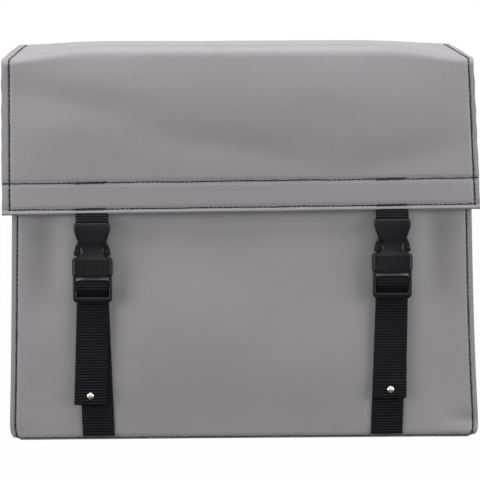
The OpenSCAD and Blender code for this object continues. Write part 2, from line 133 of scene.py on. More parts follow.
def tint(name, description, default):
    """A linear colour."""
    return bpy.props.FloatVectorProperty(name=name, description=description, default=default, size=3,
                                         subtype="COLOR", min=0, max=1)


class BagSizes(bpy.types.PropertyGroup):
    left_flare: length("Left Flare", "How far the left side spreads at the base", 0.0040)
    right_flare: length("Right Flare", "How far the right side spreads at the base", 0.0072)
    side_draw: length("Side Draw", "How far the side walls draw in between their seams", 0.011)
    left_draw: length("Left Draw", "How far the left side draws in at the mouth", 0.0048)
    right_draw: length("Right Draw", "How far the right side draws in at the mouth", 0.0036)
    front_dent: length("Front Dent", "Depth of the soft dents in the front panel", 0.0060)
    side_dent: length("Side Dent", "Depth of the dents between the straps and the side seams", 0.0030)
    front_bulge: length("Front Bulge", "How far the lower front panel bulges", 0.0036)
    back_bulge: length("Back Bulge", "How far the back panel bulges", 0.004)
    base_lift: length("Base Lift", "How far the base lifts off the floor between its edges", 0.0022)
    corner_round: length("Corner Round", "How far the lower corners are rounded off", 0.0032)
    seam_valley: length("Seam Valley", "Depth of the groove that a row of stitches pulls in", 0.0008)


class LidSizes(bpy.types.PropertyGroup):
    crown_end: length("Crown at Ends", "Height of the lid's crown over its side seams", 0.0120)
    crown_middle: length("Crown in Middle", "Height of the lid's crown in the middle", 0.0084)
    left_taper: length("Left Taper", "How far the left side of the lid leans in over the crown", 0.010)
    right_taper: length("Right Taper", "How far the right side of the lid leans in over the crown", 0.0135)
    left_lean: length("Left Lean", "How far the left side of the flap leans in at the front fold", 0.0010)
    right_lean: length("Right Lean", "How far the right side of the flap leans in at the front fold", 0.0060)
    fold_end: length("Fold at Ends", "Radius of the front fold at its ends", 0.0055)
    fold_middle: length("Fold in Middle", "Radius of the front fold in the middle", 0.0135)
    fold_drop: length("Fold Drop", "How far the front fold lies below the lid's top", -0.0010)
    fold_rise: length("Fold Rise", "How far the front fold rises in the middle", 0.0112)
    belly: length("Flap Belly", "How far the flap bulges forward", 0.0042)
    crease: length("Crease", "Depth of the soft creases in the flap", 0.0036)
    seam_valley: length("Seam Valley", "Depth of the groove that a row of stitches pulls in", 0.0008)
    left_spread: length("Left Spread", "How far the lid's left side stands out", 0.0008)
    left_inset: length("Left Inset", "How far the left row of stitches lies inside the side seam", 0.0018)
    low_stitch: length("Lower Stitch", "Height of the lower hem stitch above the flap's edge", 0.0042)
    high_stitch: length("Upper Stitch", "Height of the upper hem stitch above the flap's edge", 0.0245)


class StrapSizes(bpy.types.PropertyGroup):
    rib_pitch: length("Rib Pitch", "Spacing of the webbing's ribs", 0.0022)
    rib_height: length("Rib Height", "Height of the webbing's ribs", 0.00012)
    stitch_pitch: length("Stitch Pitch", "Spacing of the stitches", 0.0038)
    stitch_length: length("Stitch Length", "Length of one stitch", 0.0046)
    thread: length("Thread", "Thickness of the thread", 0.0010)


class Finishes(bpy.types.PropertyGroup):
    fabric: tint("Coated Fabric", "Grey of the coated fabric", (0.316, 0.298, 0.318))
    felt: tint("Felt", "Grey of the felt lining", (0.50, 0.49, 0.46))
    webbing: tint("Webbing", "Black of the webbing", (0.0060, 0.0061, 0.0080))
    plastic: tint("Plastic", "Black of the buckles", (0.0050, 0.0046, 0.0072))
    rivet: tint("Rivet", "Nickel of the rivets", (0.66, 0.58, 0.53))
    thread: tint("Thread", "Dark blue of the thread", (0.014, 0.012, 0.026))
    weave: length("Weave", "Spacing of the twill's diagonal ribs along the cloth", 0.0019)


class StageSizes(bpy.types.PropertyGroup):
    distance: length("Distance", "From the camera to the bag's front", 1.5)
    stand: length("Stand", "Place of the camera across the bag", -0.038)
    height: length("Height", "Height of the camera", 0.29)
    aim: length("Aim", "Height on the bag's front that the camera points at", 0.1566)
    frame: length("Frame", "Width of the picture at the bag's front", 0.3738)
    sideways: length("Sideways", "Place of the picture's middle across the bag", -0.0018)
    roll: bpy.props.FloatProperty(name="Roll", description="Turn of the camera about its own axis",
                                  default=math.radians(0.2), subtype="ANGLE")


# Smooth shapes over arrays
def smooth(share):
    """Eases from 0 to 1."""
    share = np.clip(share, 0, 1)
    return share * share * (3 - 2 * share)


def hump(value, centre, half_width):
    """1 at the centre, easing to 0 at half a width away."""
    return smooth(1 - np.abs(value - centre) / half_width)


def window(value, start, rise, end, fall):
    """1 between two places, easing in over the rise after the start and out over the fall before the end."""
    return smooth((value - start) / rise) * smooth((end - value) / fall)


def ripple(a, b, size, seed):
    """Soft noise between -1 and 1 over two arrays."""
    flat = [noise.noise((p / size, q / size, seed)) for p, q in zip(np.ravel(a), np.ravel(b))]
    return np.reshape(flat, np.shape(a))


def spread(*stretches):
    """Places along a line, from stretches of (start, end, steps)."""
    places = [np.linspace(start, end, steps, endpoint=False) for start, end, steps in stretches]
    return np.append(np.concatenate(places), stretches[-1][1])


def points_of(x, y, z):
    """Three arrays joined into one array of points."""
    return np.stack(np.broadcast_arrays(x, y, z), axis=-1).astype(float)


# Meshes
def make_object(name, points, faces, uv=None):
    """A smooth mesh object with its place in its points, and UVs in metres where they are given."""
    mesh = bpy.data.meshes.new(name)
    mesh.from_pydata([tuple(p) for p in points], [], faces)
    if uv is not None:
        layer = mesh.uv_layers.new(name="Cloth")
        corners = np.zeros(len(mesh.loops), dtype=np.int32)
        mesh.loops.foreach_get("vertex_index", corners)
        layer.data.foreach_set("uv", np.asarray(uv, dtype=np.float32)[corners].ravel())
    return add_object(name, mesh)


SHARP_ANGLE = math.radians(38)


def shade_smooth(mesh):
    """Shades a mesh smooth except at sharp edges."""
    mesh.polygons.foreach_set("use_smooth", [True] * len(mesh.polygons))
    mesh.set_sharp_from_angle(angle=SHARP_ANGLE)


def add_object(name, mesh):
    """Puts a mesh into the scene, shaded smooth except at sharp edges."""
    shade_smooth(mesh)
    mesh.update()
    obj = bpy.data.objects.new(name, mesh)
    bpy.context.scene.collection.objects.link(obj)
    return obj


TINY = 1e-12


def unit(vectors):
    """Vectors scaled to a length of 1."""
    return vectors / np.maximum(np.linalg.norm(vectors, axis=-1, keepdims=True), TINY)


def outward(grid):
    """Unit normals of a grid of points."""
    return unit(np.cross(np.gradient(grid, axis=1), np.gradient(grid, axis=0)))


def shell(grid, thickness, first):
    """Points and faces of a cloth layer: its outer face, its inner face and the rim between them."""
    rows, columns = grid.shape[:2]
    inner = grid - outward(grid) * thickness
    index = np.arange(rows * columns).reshape(rows, columns) + first
    under = index + rows * columns
    faces = []
    for r in range(rows - 1):
        for c in range(columns - 1):
            quad = [index[r, c], index[r, c + 1], index[r + 1, c + 1], index[r + 1, c]]
            faces.append(quad)
            faces.append([corner + rows * columns for corner in reversed(quad)])
    ring = [(0, c) for c in range(columns)] + [(r, columns - 1) for r in range(1, rows)]
    ring += [(rows - 1, c) for c in range(columns - 2, -1, -1)] + [(r, 0) for r in range(rows - 2, 0, -1)]
    for here, there in zip(ring, ring[1:] + ring[:1]):
        faces.append([index[there], index[here], under[here], under[there]])
    return np.concatenate([grid.reshape(-1, 3), inner.reshape(-1, 3)]), faces


def cloth_uv(grid):
    """UVs in metres, measured along the middle row and the middle column of a grid."""
    rows, columns = grid.shape[:2]
    across = np.linalg.norm(np.diff(grid[rows // 2], axis=0), axis=1)
    along = np.linalg.norm(np.diff(grid[:, columns // 2], axis=0), axis=1)
    u, v = np.meshgrid(np.append(0, np.cumsum(across)), np.append(0, np.cumsum(along)))
    return np.stack([u, v], axis=-1).reshape(-1, 2)


def cloth(name, grids, thickness, finish):
    """A cloth piece of one or more layers, each given by the points of its outer face."""
    points, faces, uvs = [], [], []
    first = 0
    for grid in grids:
        layer, layer_faces = shell(grid, thickness, first)
        uv = cloth_uv(grid)
        points.append(layer)
        faces += layer_faces
        uvs += [uv, uv]
        first += len(layer)
    obj = make_object(name, np.concatenate(points), faces, np.concatenate(uvs))
    obj.data.materials.append(finish)
    return obj


def place(obj, body, slot, *nodes):
    """Ties a finished piece to its body and hides the CAD nodes that it stands for. The slot is not used."""
    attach(obj, body)
    if nodes:
        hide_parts(*nodes)
    return obj


# Shape of the bag's body
# Reach and share of the body's sagging, in metres and parts
SEAM_EASE = 0.035
LIFT_HEIGHT = 0.03
CORNER_LIFT = 0.6
CORNER_HALF = 0.004
CORNER_HEIGHT = 0.012


def sag(sizes, grid):
    """Moves points of a plain box to where the sagging bag has them."""
    x, y, z = (grid[..., axis].copy() for axis in range(3))
    in_seams = smooth((SEAM - np.abs(x)) / SEAM_EASE)
    between = np.clip(1 - ((y - MIDDLE) / HALF_DEPTH) ** 2, 0, 1)
    dents = 0.5 + 0.5 * ripple(x, z, size=0.075, seed=3.7)
    new_x = sag_across(sizes, x, z, between, dents)
    new_y = sag_forward(sizes, x, y, z, in_seams, dents)
    lift = sizes.base_lift * in_seams * between * smooth(1 - z / LIFT_HEIGHT) * (0.5 + dents)
    at_corner = smooth((np.abs(x) - SEAM + CORNER_HALF) / (2 * CORNER_HALF)) * smooth(1 - z / CORNER_HEIGHT)
    return points_of(new_x, new_y, z + lift + CORNER_LIFT * sizes.corner_round * at_corner)


FLARE_BEND = 2.8
DRAW_BEND = 4
DRAW_TURN = 0.65 * math.pi
EDGE_STEEPNESS = 30
CORNER_FALL = 0.004


def sag_across(sizes, x, z, between, dents):
    """Places across the bag: flared at the base, drawn in at the mouth, the side walls and the corners."""
    side = np.sign(x)
    out = np.abs(x) / SEAM
    rise = np.clip(z / MOUTH, 0, 1)
    wall = smooth(2 * out - 1)
    at_edge = smooth(out * EDGE_STEEPNESS - (EDGE_STEEPNESS - 1))
    flare = np.where(x < 0, sizes.left_flare, sizes.right_flare)
    draw = np.where(x < 0, sizes.left_draw, sizes.right_draw)
    new_x = x + side * flare * (1 - rise) ** FLARE_BEND * out
    new_x -= side * wall * sizes.side_draw * between * np.sin(DRAW_TURN * rise) * (0.75 + 0.25 * dents)
    new_x -= side * out * draw * rise ** DRAW_BEND
    new_x -= side * at_edge * sizes.corner_round * np.exp(-np.maximum(z, 0) / CORNER_FALL)
    return new_x


STRAP_EASE = 0.03
STRAP_HOLD = 0.56 * WEB_WIDTH


def sag_forward(sizes, x, y, z, in_seams, dents):
    """Places from front to back: dents and bulges in the two panels, and tucks at the base."""
    front = smooth((MIDDLE - y) / HALF_DEPTH)
    back = smooth((y - MIDDLE) / HALF_DEPTH)
    from_strap = np.abs(np.abs(x) - strap_x("right"))
    strap_edge = strap_x("right") + 0.5 * WEB_WIDTH
    clear_of_straps = smooth((from_strap - STRAP_HOLD) / STRAP_EASE)
    beside_straps = hump(np.abs(x), 0.5 * (SEAM + strap_edge), 0.5 * (SEAM - strap_edge))
    upright = window(z, start=0.04, rise=0.09, end=MOUTH + 0.0125, fall=0.05)
    beside = window(z, start=0, rise=0.05, end=MOUTH, fall=0.06)
    behind = window(z, start=0, rise=0.06, end=MOUTH - 0.03, fall=0.08)
    bulge = sizes.front_bulge * hump(z, centre=0.085, half_width=0.085)
    swell = 0.6 + 0.4 * ripple(x, z, size=0.09, seed=8.2)
    new_y = y + front * (sizes.front_dent * upright * dents - bulge) * in_seams * clear_of_straps
    new_y += front * sizes.side_dent * beside_straps * beside
    new_y += back * sizes.back_bulge * in_seams * behind * swell
    new_y += (front - back) * pucker(sizes, x, z)
    return new_y


TUCKS = (
    # Side, height and share of the depth of each tuck
    (-1, 0.004, 0.7),
    (1, 0.013, 1.0),
)
# Size of a tuck and of the welt beside it, the welt's place in parts of the tuck's size
TUCK_DEPTH = 1.6
TUCK_INSET = 0.003
TUCK_WIDTH = 0.014
TUCK_HEIGHT = 0.006
WELT_DEPTH = 0.8
WELT_INSIDE = 0.7
WELT_BELOW = 1.1


def pucker(sizes, x, z):
    """Small tucks where the side seams meet the base, each with a welt inside and below it."""
    dip = np.zeros_like(x)
    for side, height, deep in TUCKS:
        across = (x - side * (SEAM - TUCK_INSET)) / TUCK_WIDTH
        upward = (z - height) / TUCK_HEIGHT
        welt = np.exp(-(across + side * WELT_INSIDE) ** 2 - (upward + WELT_BELOW) ** 2)
        dip += deep * sizes.seam_valley * np.exp(-across ** 2 - upward ** 2)
        dip -= WELT_DEPTH * deep * sizes.seam_valley * welt
    return TUCK_DEPTH * dip


SEAM_BAND = 0.006
FOOT_BAND = 0.024


def panel_columns():
    """Places across a front or back panel, closer together at its seams."""
    inner = SEAM - SEAM_BAND
    return spread((-FLANGE, -inner, 12), (-inner, inner, 92), (inner, FLANGE, 12))


def panel_rows():
    """Heights on a body panel, closer together at the base."""
    return spread((0, FOOT_BAND, 14), (FOOT_BAND, MOUTH, 68))


SEAM_GROOVE = 0.0026
CURL = 0.0012
CURL_HEIGHT = 0.004


def panel_face(sizes, y, facing, x, z):
    """Points on the outer face of the front panel (facing -1) or the back panel (facing 1)."""
    valley = sizes.seam_valley * hump(np.abs(x), SEAM, SEAM_GROOVE)
    curl = CURL * smooth(1 - z / CURL_HEIGHT)
    return sag(sizes, points_of(x, y - facing * (valley + curl), z))


FLANGE_STEPS = 5
CORNER_EASE = 0.0012
CORNER_BAND = 0.012


def side_path(front_y, back_y, seam, edge):
    """Outline of a side wall from above, from the edge of one seam allowance to the edge of the other."""
    first, last = front_y + CORNER_BAND, back_y - CORNER_BAND
    wall = spread((front_y + CORNER_EASE, first, 6), (first, last, 26), (last, back_y - CORNER_EASE, 6))
    flange = np.linspace(edge, seam + CORNER_EASE, FLANGE_STEPS)
    x = np.concatenate([flange, np.full(len(wall), seam), flange[::-1]])
    y = np.concatenate([np.full(FLANGE_STEPS, front_y), wall, np.full(FLANGE_STEPS, back_y)])
    return x, y


def gusset_grid(sizes, side):
    """Outer face of a side wall with its two seam allowances."""
    x, y = side_path(FRONT + 2 * CLOTH, BACK - 2 * CLOTH, SEAM, FLANGE)
    z = panel_rows()[:, None]
    grid = sag(sizes, points_of(side * x[None, :], y[None, :], z))
    return grid if side > 0 else grid[:, ::-1]


BASE_GAP = 0.0002


def build_body(sizes):
    """Front, back, side and base panels."""
    fabric = fabric_finish()
    x, z = np.meshgrid(panel_columns(), panel_rows())
    front = cloth("front_panel_cloth", [panel_face(sizes, FRONT, -1, x, z)], CLOTH, fabric)
    place(front, "bag", "coated_fabric", "front_panel")
    back = cloth("back_panel_cloth", [panel_face(sizes, BACK, 1, x, z)[:, ::-1]], CLOTH, fabric)
    place(back, "bag", "coated_fabric", "back_panel")
    for name, side in SIDES.items():
        wall = cloth(name + "_gusset_cloth", [gusset_grid(sizes, side)], CLOTH, fabric)
        place(wall, "bag", "coated_fabric", name + "_gusset")
    wide = high("base_panel").x
    x, y = np.meshgrid(np.linspace(wide, -wide, 60), np.linspace(FRONT + CLOTH, BACK - CLOTH, 22))
    base = cloth("base_panel_cloth", [sag(sizes, points_of(x, y, BASE_GAP))], CLOTH, fabric)
    place(base, "bag", "coated_fabric", "base_panel")


LINER_DROP = 0.0006


def build_lining(sizes):
    """Felt inside the body."""
    felt = felt_finish()
    bottom = low("front_liner").z
    x, z = np.meshgrid(np.linspace(ROOM, -ROOM, 70), np.linspace(bottom, MOUTH - LINER_DROP, 58))
    faces = {"front": (high("front_liner").y, x), "back": (low("back_liner").y, -x)}
    for name, (y, across) in faces.items():
        liner = cloth(name + "_liner_felt", [sag(sizes, points_of(across, y, z))], FELT, felt)
        place(liner, "bag", "felt_liner", name + "_liner")
    y, z = np.meshgrid(np.linspace(BACK - CLOTH - FELT, FRONT + CLOTH + FELT, 26), z[:, 0])
    for name, side in SIDES.items():
        grid = sag(sizes, points_of(side * ROOM, side * (y - MIDDLE) + MIDDLE, z))
        liner = cloth(name + "_liner_felt", [grid], FELT, felt)
        place(liner, "bag", "felt_liner", name + "_liner")
    x, y = np.meshgrid(np.linspace(-ROOM, ROOM, 60), y[0][::-1])
    base = cloth("base_liner_felt", [sag(sizes, points_of(x, y, high("base_liner").z))], FELT, felt)
    place(base, "bag", "felt_liner", "base_liner")


def rounded_rectangle(half_x, half_y, radius, steps):
    """Points round a rectangle with round corners, anticlockwise from its right side."""
    points = []
    for quarter in range(4):
        sign_x = 1 if quarter in (0, 3) else -1
        sign_y = 1 if quarter in (0, 1) else -1
        centre = (sign_x * (half_x - radius), sign_y * (half_y - radius))
        for step in range(steps + 1):
            angle = (quarter + step / steps) * math.pi / 2
            points.append((centre[0] + radius * math.cos(angle), centre[1] + radius * math.sin(angle)))
    return np.array(points)


def along_loop(loop, spacing):
    """A closed outline with points added so that none lie further apart than the spacing."""
    filled = []
    for here, there in zip(loop, np.roll(loop, -1, axis=0)):
        steps = max(1, int(np.linalg.norm(there - here) / spacing))
        filled += [here + (there - here) * step / steps for step in range(steps)]
    return np.array(filled + [filled[0]])


def build_mouth(sizes):
    """Hem round the mouth, and the strip on the back that the lid hangs on."""
    build_mouth_hem(sizes)
    build_hinge_strip(sizes)


HEM_STEPS = 8
TURN_STEPS = 3
TURN_SHARE = 0.35
TURN_LIFT = 0.0004


def build_mouth_hem(sizes):
    """Hem round the mouth, turned over the raw edges."""
    room = high("mouth_hem")
    half = (room.y - low("mouth_hem").y) / 2 - HEM
    outline = rounded_rectangle(room.x - HEM, half, radius=0.004, steps=4)
    loop = along_loop(outline, spacing=0.006)[::-1]
    bottom = low("mouth_hem").z
    over = FELT + HEM
    rows = [(step / HEM_STEPS, 0, 0) for step in range(HEM_STEPS + 1)]
    rows += [(1, TURN_SHARE * over * step / TURN_STEPS, TURN_LIFT) for step in range(1, TURN_STEPS + 1)]
    grid = np.zeros((len(rows), len(loop), 3))
    for r, (share, outwards, lift) in enumerate(rows):
        grow = 1 + outwards / np.abs(loop).max(axis=0)
        grid[r, :, 0] = loop[:, 0] * grow[0]
        grid[r, :, 1] = loop[:, 1] * grow[1] + MIDDLE
        grid[r, :, 2] = bottom + (MOUTH - bottom) * share + lift
    hem = cloth("mouth_hem_cloth", [sag(sizes, grid)], HEM, fabric_finish())
    place(hem, "bag", "coated_fabric", "mouth_hem")


STRIP_VALLEY = 0.5
STRIP_GROOVE = 0.003
LOW_ROW = 0.004
HIGH_ROW = 0.005


def build_hinge_strip(sizes):
    """Strip on the back that the lid hangs on."""
    strip_low, strip_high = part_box("lid_hinge_strip")
    across = np.linspace(strip_high.x, -strip_high.x, 80)
    x, z = np.meshgrid(across, np.linspace(strip_low.z, strip_high.z, 12))
    valley = sum(hump(z, row, STRIP_GROOVE) for row in hinge_strip_rows())
    grid = sag(sizes, points_of(x, strip_high.y - STRIP_VALLEY * sizes.seam_valley * valley, z))
    strip = cloth("lid_hinge_strip_cloth", [grid], HEM, fabric_finish())
    place(strip, "bag", "coated_fabric", "lid_hinge_strip")


def hinge_strip_rows():
    """Heights of the two rows of stitches on the hinge strip."""
    strip_low, strip_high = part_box("lid_hinge_strip")
    return strip_low.z + LOW_ROW, strip_high.z - HIGH_ROW


# Shape of the lid
CREASES = (
    # Ends of each soft crease across the flap as (x, z), with its half width and its share of the depth
    ((-0.180, 0.272), (-0.078, 0.253), 0.014, 0.7),
    ((-0.080, 0.239), (0.055, 0.219), 0.012, 0.5),
    ((0.180, 0.231), (0.075, 0.208), 0.013, 0.5),
)


CREASE_ENDS = 0.35


def crease_depth(sizes, x, z):
    """Depth of the soft creases at points on the flap."""
    depth = np.zeros_like(x)
    for (ax, az), (bx, bz), half_width, share in CREASES:
        run_x, run_z = bx - ax, bz - az
        along = ((x - ax) * run_x + (z - az) * run_z) / (run_x ** 2 + run_z ** 2)
        held = np.clip(along, 0, 1)
        away = np.hypot(x - ax - held * run_x, z - az - held * run_z)
        fade = CREASE_ENDS + (1 - CREASE_ENDS) * np.sin(math.pi * held)
        depth += sizes.crease * share * fade * np.exp(-(away / half_width) ** 2)
    return depth


RIDGE = 0.54
RIDGE_SHARPNESS = 6
SLOPE_GAIN = 2 ** (1 / RIDGE_SHARPNESS)
HINGE_EASE = 1.25
BELLY_SKEW = 1.9


FOLD_REACH = 1.5
FOLD_BELLY = 0.2
LID_START = HINGE.z + BEAD


def lid_fold(sizes, x):
    """The lid's front fold and crown across the lid."""
    soft = smooth(FOLD_REACH * (1 - (x / LID_EDGE) ** 2))
    radius = sizes.fold_end + (sizes.fold_middle - sizes.fold_end) * soft
    front_y = FLAP - FOLD_BELLY * sizes.belly * soft
    top_z = LID_TOP - sizes.fold_drop + sizes.fold_rise * soft
    crown = sizes.crown_end + (sizes.crown_middle - sizes.crown_end) * soft
    climb = top_z - HINGE.z - BEAD
    slope = np.arctan((SLOPE_GAIN * crown / (1 - RIDGE) - climb) / (HINGE.y - FLAP))
    lean = np.arctan(math.pi * BELLY_SKEW * sizes.belly * soft / (top_z - flap_edge(x)))
    centre_z = top_z - radius * np.cos(slope)
    return SimpleNamespace(
        soft=soft, radius=radius, top_z=top_z, crown=crown, slope=slope, lean=lean, centre_z=centre_z,
        start_y=front_y + radius * (1 - np.sin(slope)),
        centre_y=front_y + radius,
        flap_y=front_y + radius * (1 - np.cos(lean)),
        flap_z=centre_z + radius * np.sin(lean),
    )


def belly_share(fall):
    """Bulge of the flap from the fold at 0 to the lower edge at 1, fullest in the upper half."""
    return np.sin(math.pi * (1 - (1 - fall) ** BELLY_SKEW))


TOP_END = 1e-6


def crown_share(top):
    """Rise of the lid's crown from the hinge at 0 to the fold at 1: two slopes that meet in a soft ridge.
    The rear slope starts gently, so that the open lid clears the hinge strip."""
    rear = (np.maximum(top, TOP_END) / RIDGE) ** HINGE_EASE
    ahead = np.maximum(1 - top, TOP_END) / (1 - RIDGE)
    return SLOPE_GAIN * (rear ** -RIDGE_SHARPNESS + ahead ** -RIDGE_SHARPNESS) ** (-1 / RIDGE_SHARPNESS)


def crown_height(fold, top):
    """Height of the lid's outer face between the hinge and the fold."""
    return LID_START + (fold.top_z - LID_START) * top + fold.crown * crown_share(top)


def top_share(fold, y):
    """Share of the way from the hinge to the fold."""
    return np.clip((HINGE.y - y) / (HINGE.y - fold.start_y), 0, 1)


def narrow(sizes, x, top, rise):
    """Places across the lid, drawn in as its sides lean in from the hem (rise 0) to the top (rise 1)."""
    taper = np.where(x < 0, sizes.left_taper, sizes.right_taper)
    lean = np.where(x < 0, sizes.left_lean, sizes.right_lean)
    stand_out = np.where(x < 0, sizes.left_spread, 0)
    return x * (1 - (taper * crown_share(top) * rise ** 2 + lean * rise - stand_out) / LID_EDGE)


def lid_across(sizes, x, y, rise):
    """Places across the lid below a place on its top."""
    return narrow(sizes, x, top_share(lid_fold(sizes, x), y), rise)


def seam_x(sizes, side):
    """Place of a row of stitches down the lid's left side (-1) or right side (1)."""
    return side * CHEEK if side > 0 else side * (CHEEK - sizes.left_inset)


def lid_height(sizes, x, y):
    """Height of the lid's outer face above a place."""
    fold = lid_fold(sizes, x)
    on_top = crown_height(fold, top_share(fold, y))
    ahead = np.clip(fold.centre_y - y, 0, fold.radius)
    on_fold = fold.centre_z + np.sqrt(np.maximum(fold.radius ** 2 - ahead ** 2, 0))
    return np.where(y > fold.start_y, on_top, on_fold)


LIP = (CLOTH + HEM) / 2


BEAD_TURN = 1.4 * math.pi
LIP_TURN = 0.8 * math.pi


def lid_turn(fold, run):
    """Angle that the lid's outer face has turned through on its way over the front fold."""
    return fold.slope + (math.pi / 2 - fold.lean - fold.slope) * np.clip(run - 1, 0, 1)


def lid_path(fold, x, run):
    """Places from front to back, and heights, along the lid before its cloth is dented."""
    roll = np.clip(-run, 0, 1) * BEAD_TURN
    top = np.clip(run, 0, 1)
    turn = lid_turn(fold, run)
    fall = np.clip(run - 2, 0, 1)
    lip = np.clip(run - 3, 0, 1) * LIP_TURN
    top_y = HINGE.y + (fold.start_y - HINGE.y) * top + BEAD * np.sin(roll)
    top_z = crown_height(fold, top) - BEAD * (1 - np.cos(roll))
    flap_y = fold.centre_y - fold.radius * np.sin(turn) + (FLAP - fold.flap_y) * fall
    flap_y = flap_y + LIP * (1 - np.cos(lip))
    flap_z = fold.centre_z + fold.radius * np.cos(turn) - LIP * np.sin(lip)
    flap_z = flap_z - (fold.flap_z - flap_edge(x) - LIP) * fall
    return np.where(run < 1, top_y, flap_y), np.where(run < 1, top_z, flap_z)


# Where along the lid its dents start, and how far its seams hold them off
FLAP_START = 1.6
FLAP_EASE = 0.6
LIP_START = 3.004
HINGE_HOLD = 0.1
HEM_HOLD = 0.03
EDGE_HOLD = 0.03
WAVE_DEPTH = 0.0005
FRAY_DEPTH = 0.0007


def lid_face(sizes, x, run):
    """Points on the lid's outer face. The run is -1 to 0 round the hinge bead, 0 to 1 over the top,
    1 to 2 round the front fold, 2 to 3 down the flap and 3 to 4 under its lower edge."""
    x, run = np.broadcast_arrays(x, run)
    fold = lid_fold(sizes, x)
    y, z = lid_path(fold, x, run)
    turn = lid_turn(fold, run)
    fall = np.clip(run - 2, 0, 1)
    above = z - flap_edge(x)
    on_flap = smooth((run - FLAP_START) / FLAP_EASE)
    inwards = on_flap * crease_depth(sizes, x, z) * smooth(above / HEM_HOLD)
    inwards = inwards + seam_groove(sizes, x, run, above)
    inwards = inwards - sizes.belly * fold.soft * belly_share(fall)
    waves = ripple(x, z - y, size=0.06, seed=5.1) * smooth((LID_EDGE - np.abs(x)) / EDGE_HOLD)
    inwards = inwards + WAVE_DEPTH * (on_flap + 0.5) * waves
    inwards = inwards * (run < LIP_START) * smooth(run / HINGE_HOLD)
    fray = FRAY_DEPTH * ripple(z - y, 0 * x, size=0.012, seed=2.3)
    at_edge = smooth((np.abs(x) - CHEEK) / (LID_EDGE - CHEEK))
    across = narrow(sizes, x, np.clip(run, 0, 1), 1 - fall) - np.sign(x) * fray * at_edge
    return points_of(across, y + inwards * np.sin(turn), z - inwards * np.cos(turn))


# Half widths of the stitched grooves, and the puff beside them
SIDE_GROOVE = 0.0028
LOW_GROOVE = 0.0024
HIGH_GROOVE = 0.003
PUFF_DEPTH = 0.8
STITCHED_RUN = 1.9


def seam_groove(sizes, x, run, above):
    """Grooves that the lid's stitches pull into the cloth, and the puffed lip below them."""
    groove = sum(hump(x, seam_x(sizes, side), SIDE_GROOVE) for side in SIDES.values())
    flap = run > STITCHED_RUN
    groove = groove + flap * hump(above, sizes.low_stitch, LOW_GROOVE)
    groove = groove + flap * hump(above, sizes.high_stitch, HIGH_GROOVE)
    puff = flap * hump(above, centre=0.4 * sizes.low_stitch, half_width=0.6 * sizes.low_stitch)
    return sizes.seam_valley * (groove - PUFF_DEPTH * puff)


def flap_run(sizes, x, z):
    """The run at a height on the flap."""
    start = lid_fold(sizes, x).flap_z
    return 2 + (start - z) / (start - flap_edge(x) - LIP)


LID_BAND = 0.007
HEM_RUN = 2.74
BEAD_WALL = 0.6


def build_lid(sizes):
    """Lid cloth in one piece from the hinge to the hem, and the two sewn-in sides."""
    fabric = fabric_finish()
    inner = CHEEK - LID_BAND
    columns = spread((-LID_EDGE, -inner, 16), (-inner, inner, 104), (inner, LID_EDGE, 16))
    runs = spread((-1, 0, 9), (0, 1, 40), (1, 2, 12), (2, HEM_RUN, 28), (HEM_RUN, 3, 26), (3, 4, 6))
    x, run = np.meshgrid(columns[::-1], runs)
    grid = lid_face(sizes, x, run)
    thickness = np.where(run < 0, BEAD_WALL * BEAD, CLOTH)[..., None]
    panel = cloth("lid_panel_cloth", [grid], thickness, fabric)
    place(panel, "lid", "coated_fabric", "lid_panel")
    for name, side in SIDES.items():
        cheek = cloth("lid_%s_cheek_cloth" % name, cheek_grids(sizes, side), CLOTH, fabric)
        place(cheek, "lid", "coated_fabric", "lid_%s_cheek" % name)


SEWN_GAP = 0.0004
FLANGE_INSET = 0.0005
FLANGE_BACK = 0.004
CHEEK_STEPS = 40
CHEEK_WAVE = 0.0016
CHEEK_TALL = 0.1
CHEEK_EASE = 0.04


def cheek_grids(sizes, side):
    """A lid side with the seam allowance behind the flap, and its seam allowance under the lid's top."""
    front_y = FLAP + 2 * CLOTH
    rear = high("lid_right_cheek").y
    path_x, path_y = (path[:-FLANGE_STEPS] for path in side_path(front_y, rear, CHEEK, LID_EDGE - SEWN_GAP))
    share, x = np.meshgrid(np.linspace(0, 1, CHEEK_STEPS), side * path_x, indexing="ij")
    y = np.broadcast_to(path_y, x.shape)
    bottom = flap_edge(x)
    top = lid_height(sizes, x, y) - CLOTH - SEWN_GAP
    wave = CHEEK_WAVE * np.abs(ripple(y, share * CHEEK_TALL, size=0.04, seed=6.0 + side))
    sway = wave * np.sin(math.pi * share) * smooth((y - front_y) / CHEEK_EASE)
    across = lid_across(sizes, x, y, share)
    wall = points_of(across - side * sway, y, bottom + (top - bottom) * share)
    flange_x = side * np.linspace(CHEEK - CLOTH / 2, LID_EDGE - FLANGE_INSET, FLANGE_STEPS)
    x, y = np.meshgrid(flange_x, np.linspace(front_y + FLANGE_BACK, rear, CHEEK_STEPS))
    under = lid_height(sizes, x, y) - 2 * CLOTH - SEWN_GAP
    flange = points_of(lid_across(sizes, x, y, 1), y, under)
    if side > 0:
        return [wall, flange[:, ::-1]]
    return [wall[:, ::-1], flange[:, ::-1]]


def build_lid_lining(sizes):
    """Felt under the lid's top and behind its flap, and the hem inside the flap's lower edge."""
    build_top_liner(sizes)
    build_flap_liner(sizes)
    build_lid_hem(sizes)


LINER_SHORT = 0.002
LINER_GAP = 0.0003


def build_top_liner(sizes):
    """Felt under the lid's top."""
    top_low, top_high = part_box("lid_top_liner")
    across = np.linspace(top_high.x, -top_high.x, 64)
    x, y = np.meshgrid(across, np.linspace(top_low.y, top_high.y - LINER_SHORT, 26))
    grid = points_of(lid_across(sizes, x, y, 1), y, lid_height(sizes, x, y) - CLOTH - FELT - LINER_GAP)
    top = cloth("lid_top_liner_felt", [grid], FELT, felt_finish())
    place(top, "lid", "felt_liner", "lid_top_liner")


FELT_PRESS = 0.75
FLAP_NEST = 0.0004
FRONT_GAP = 0.0005


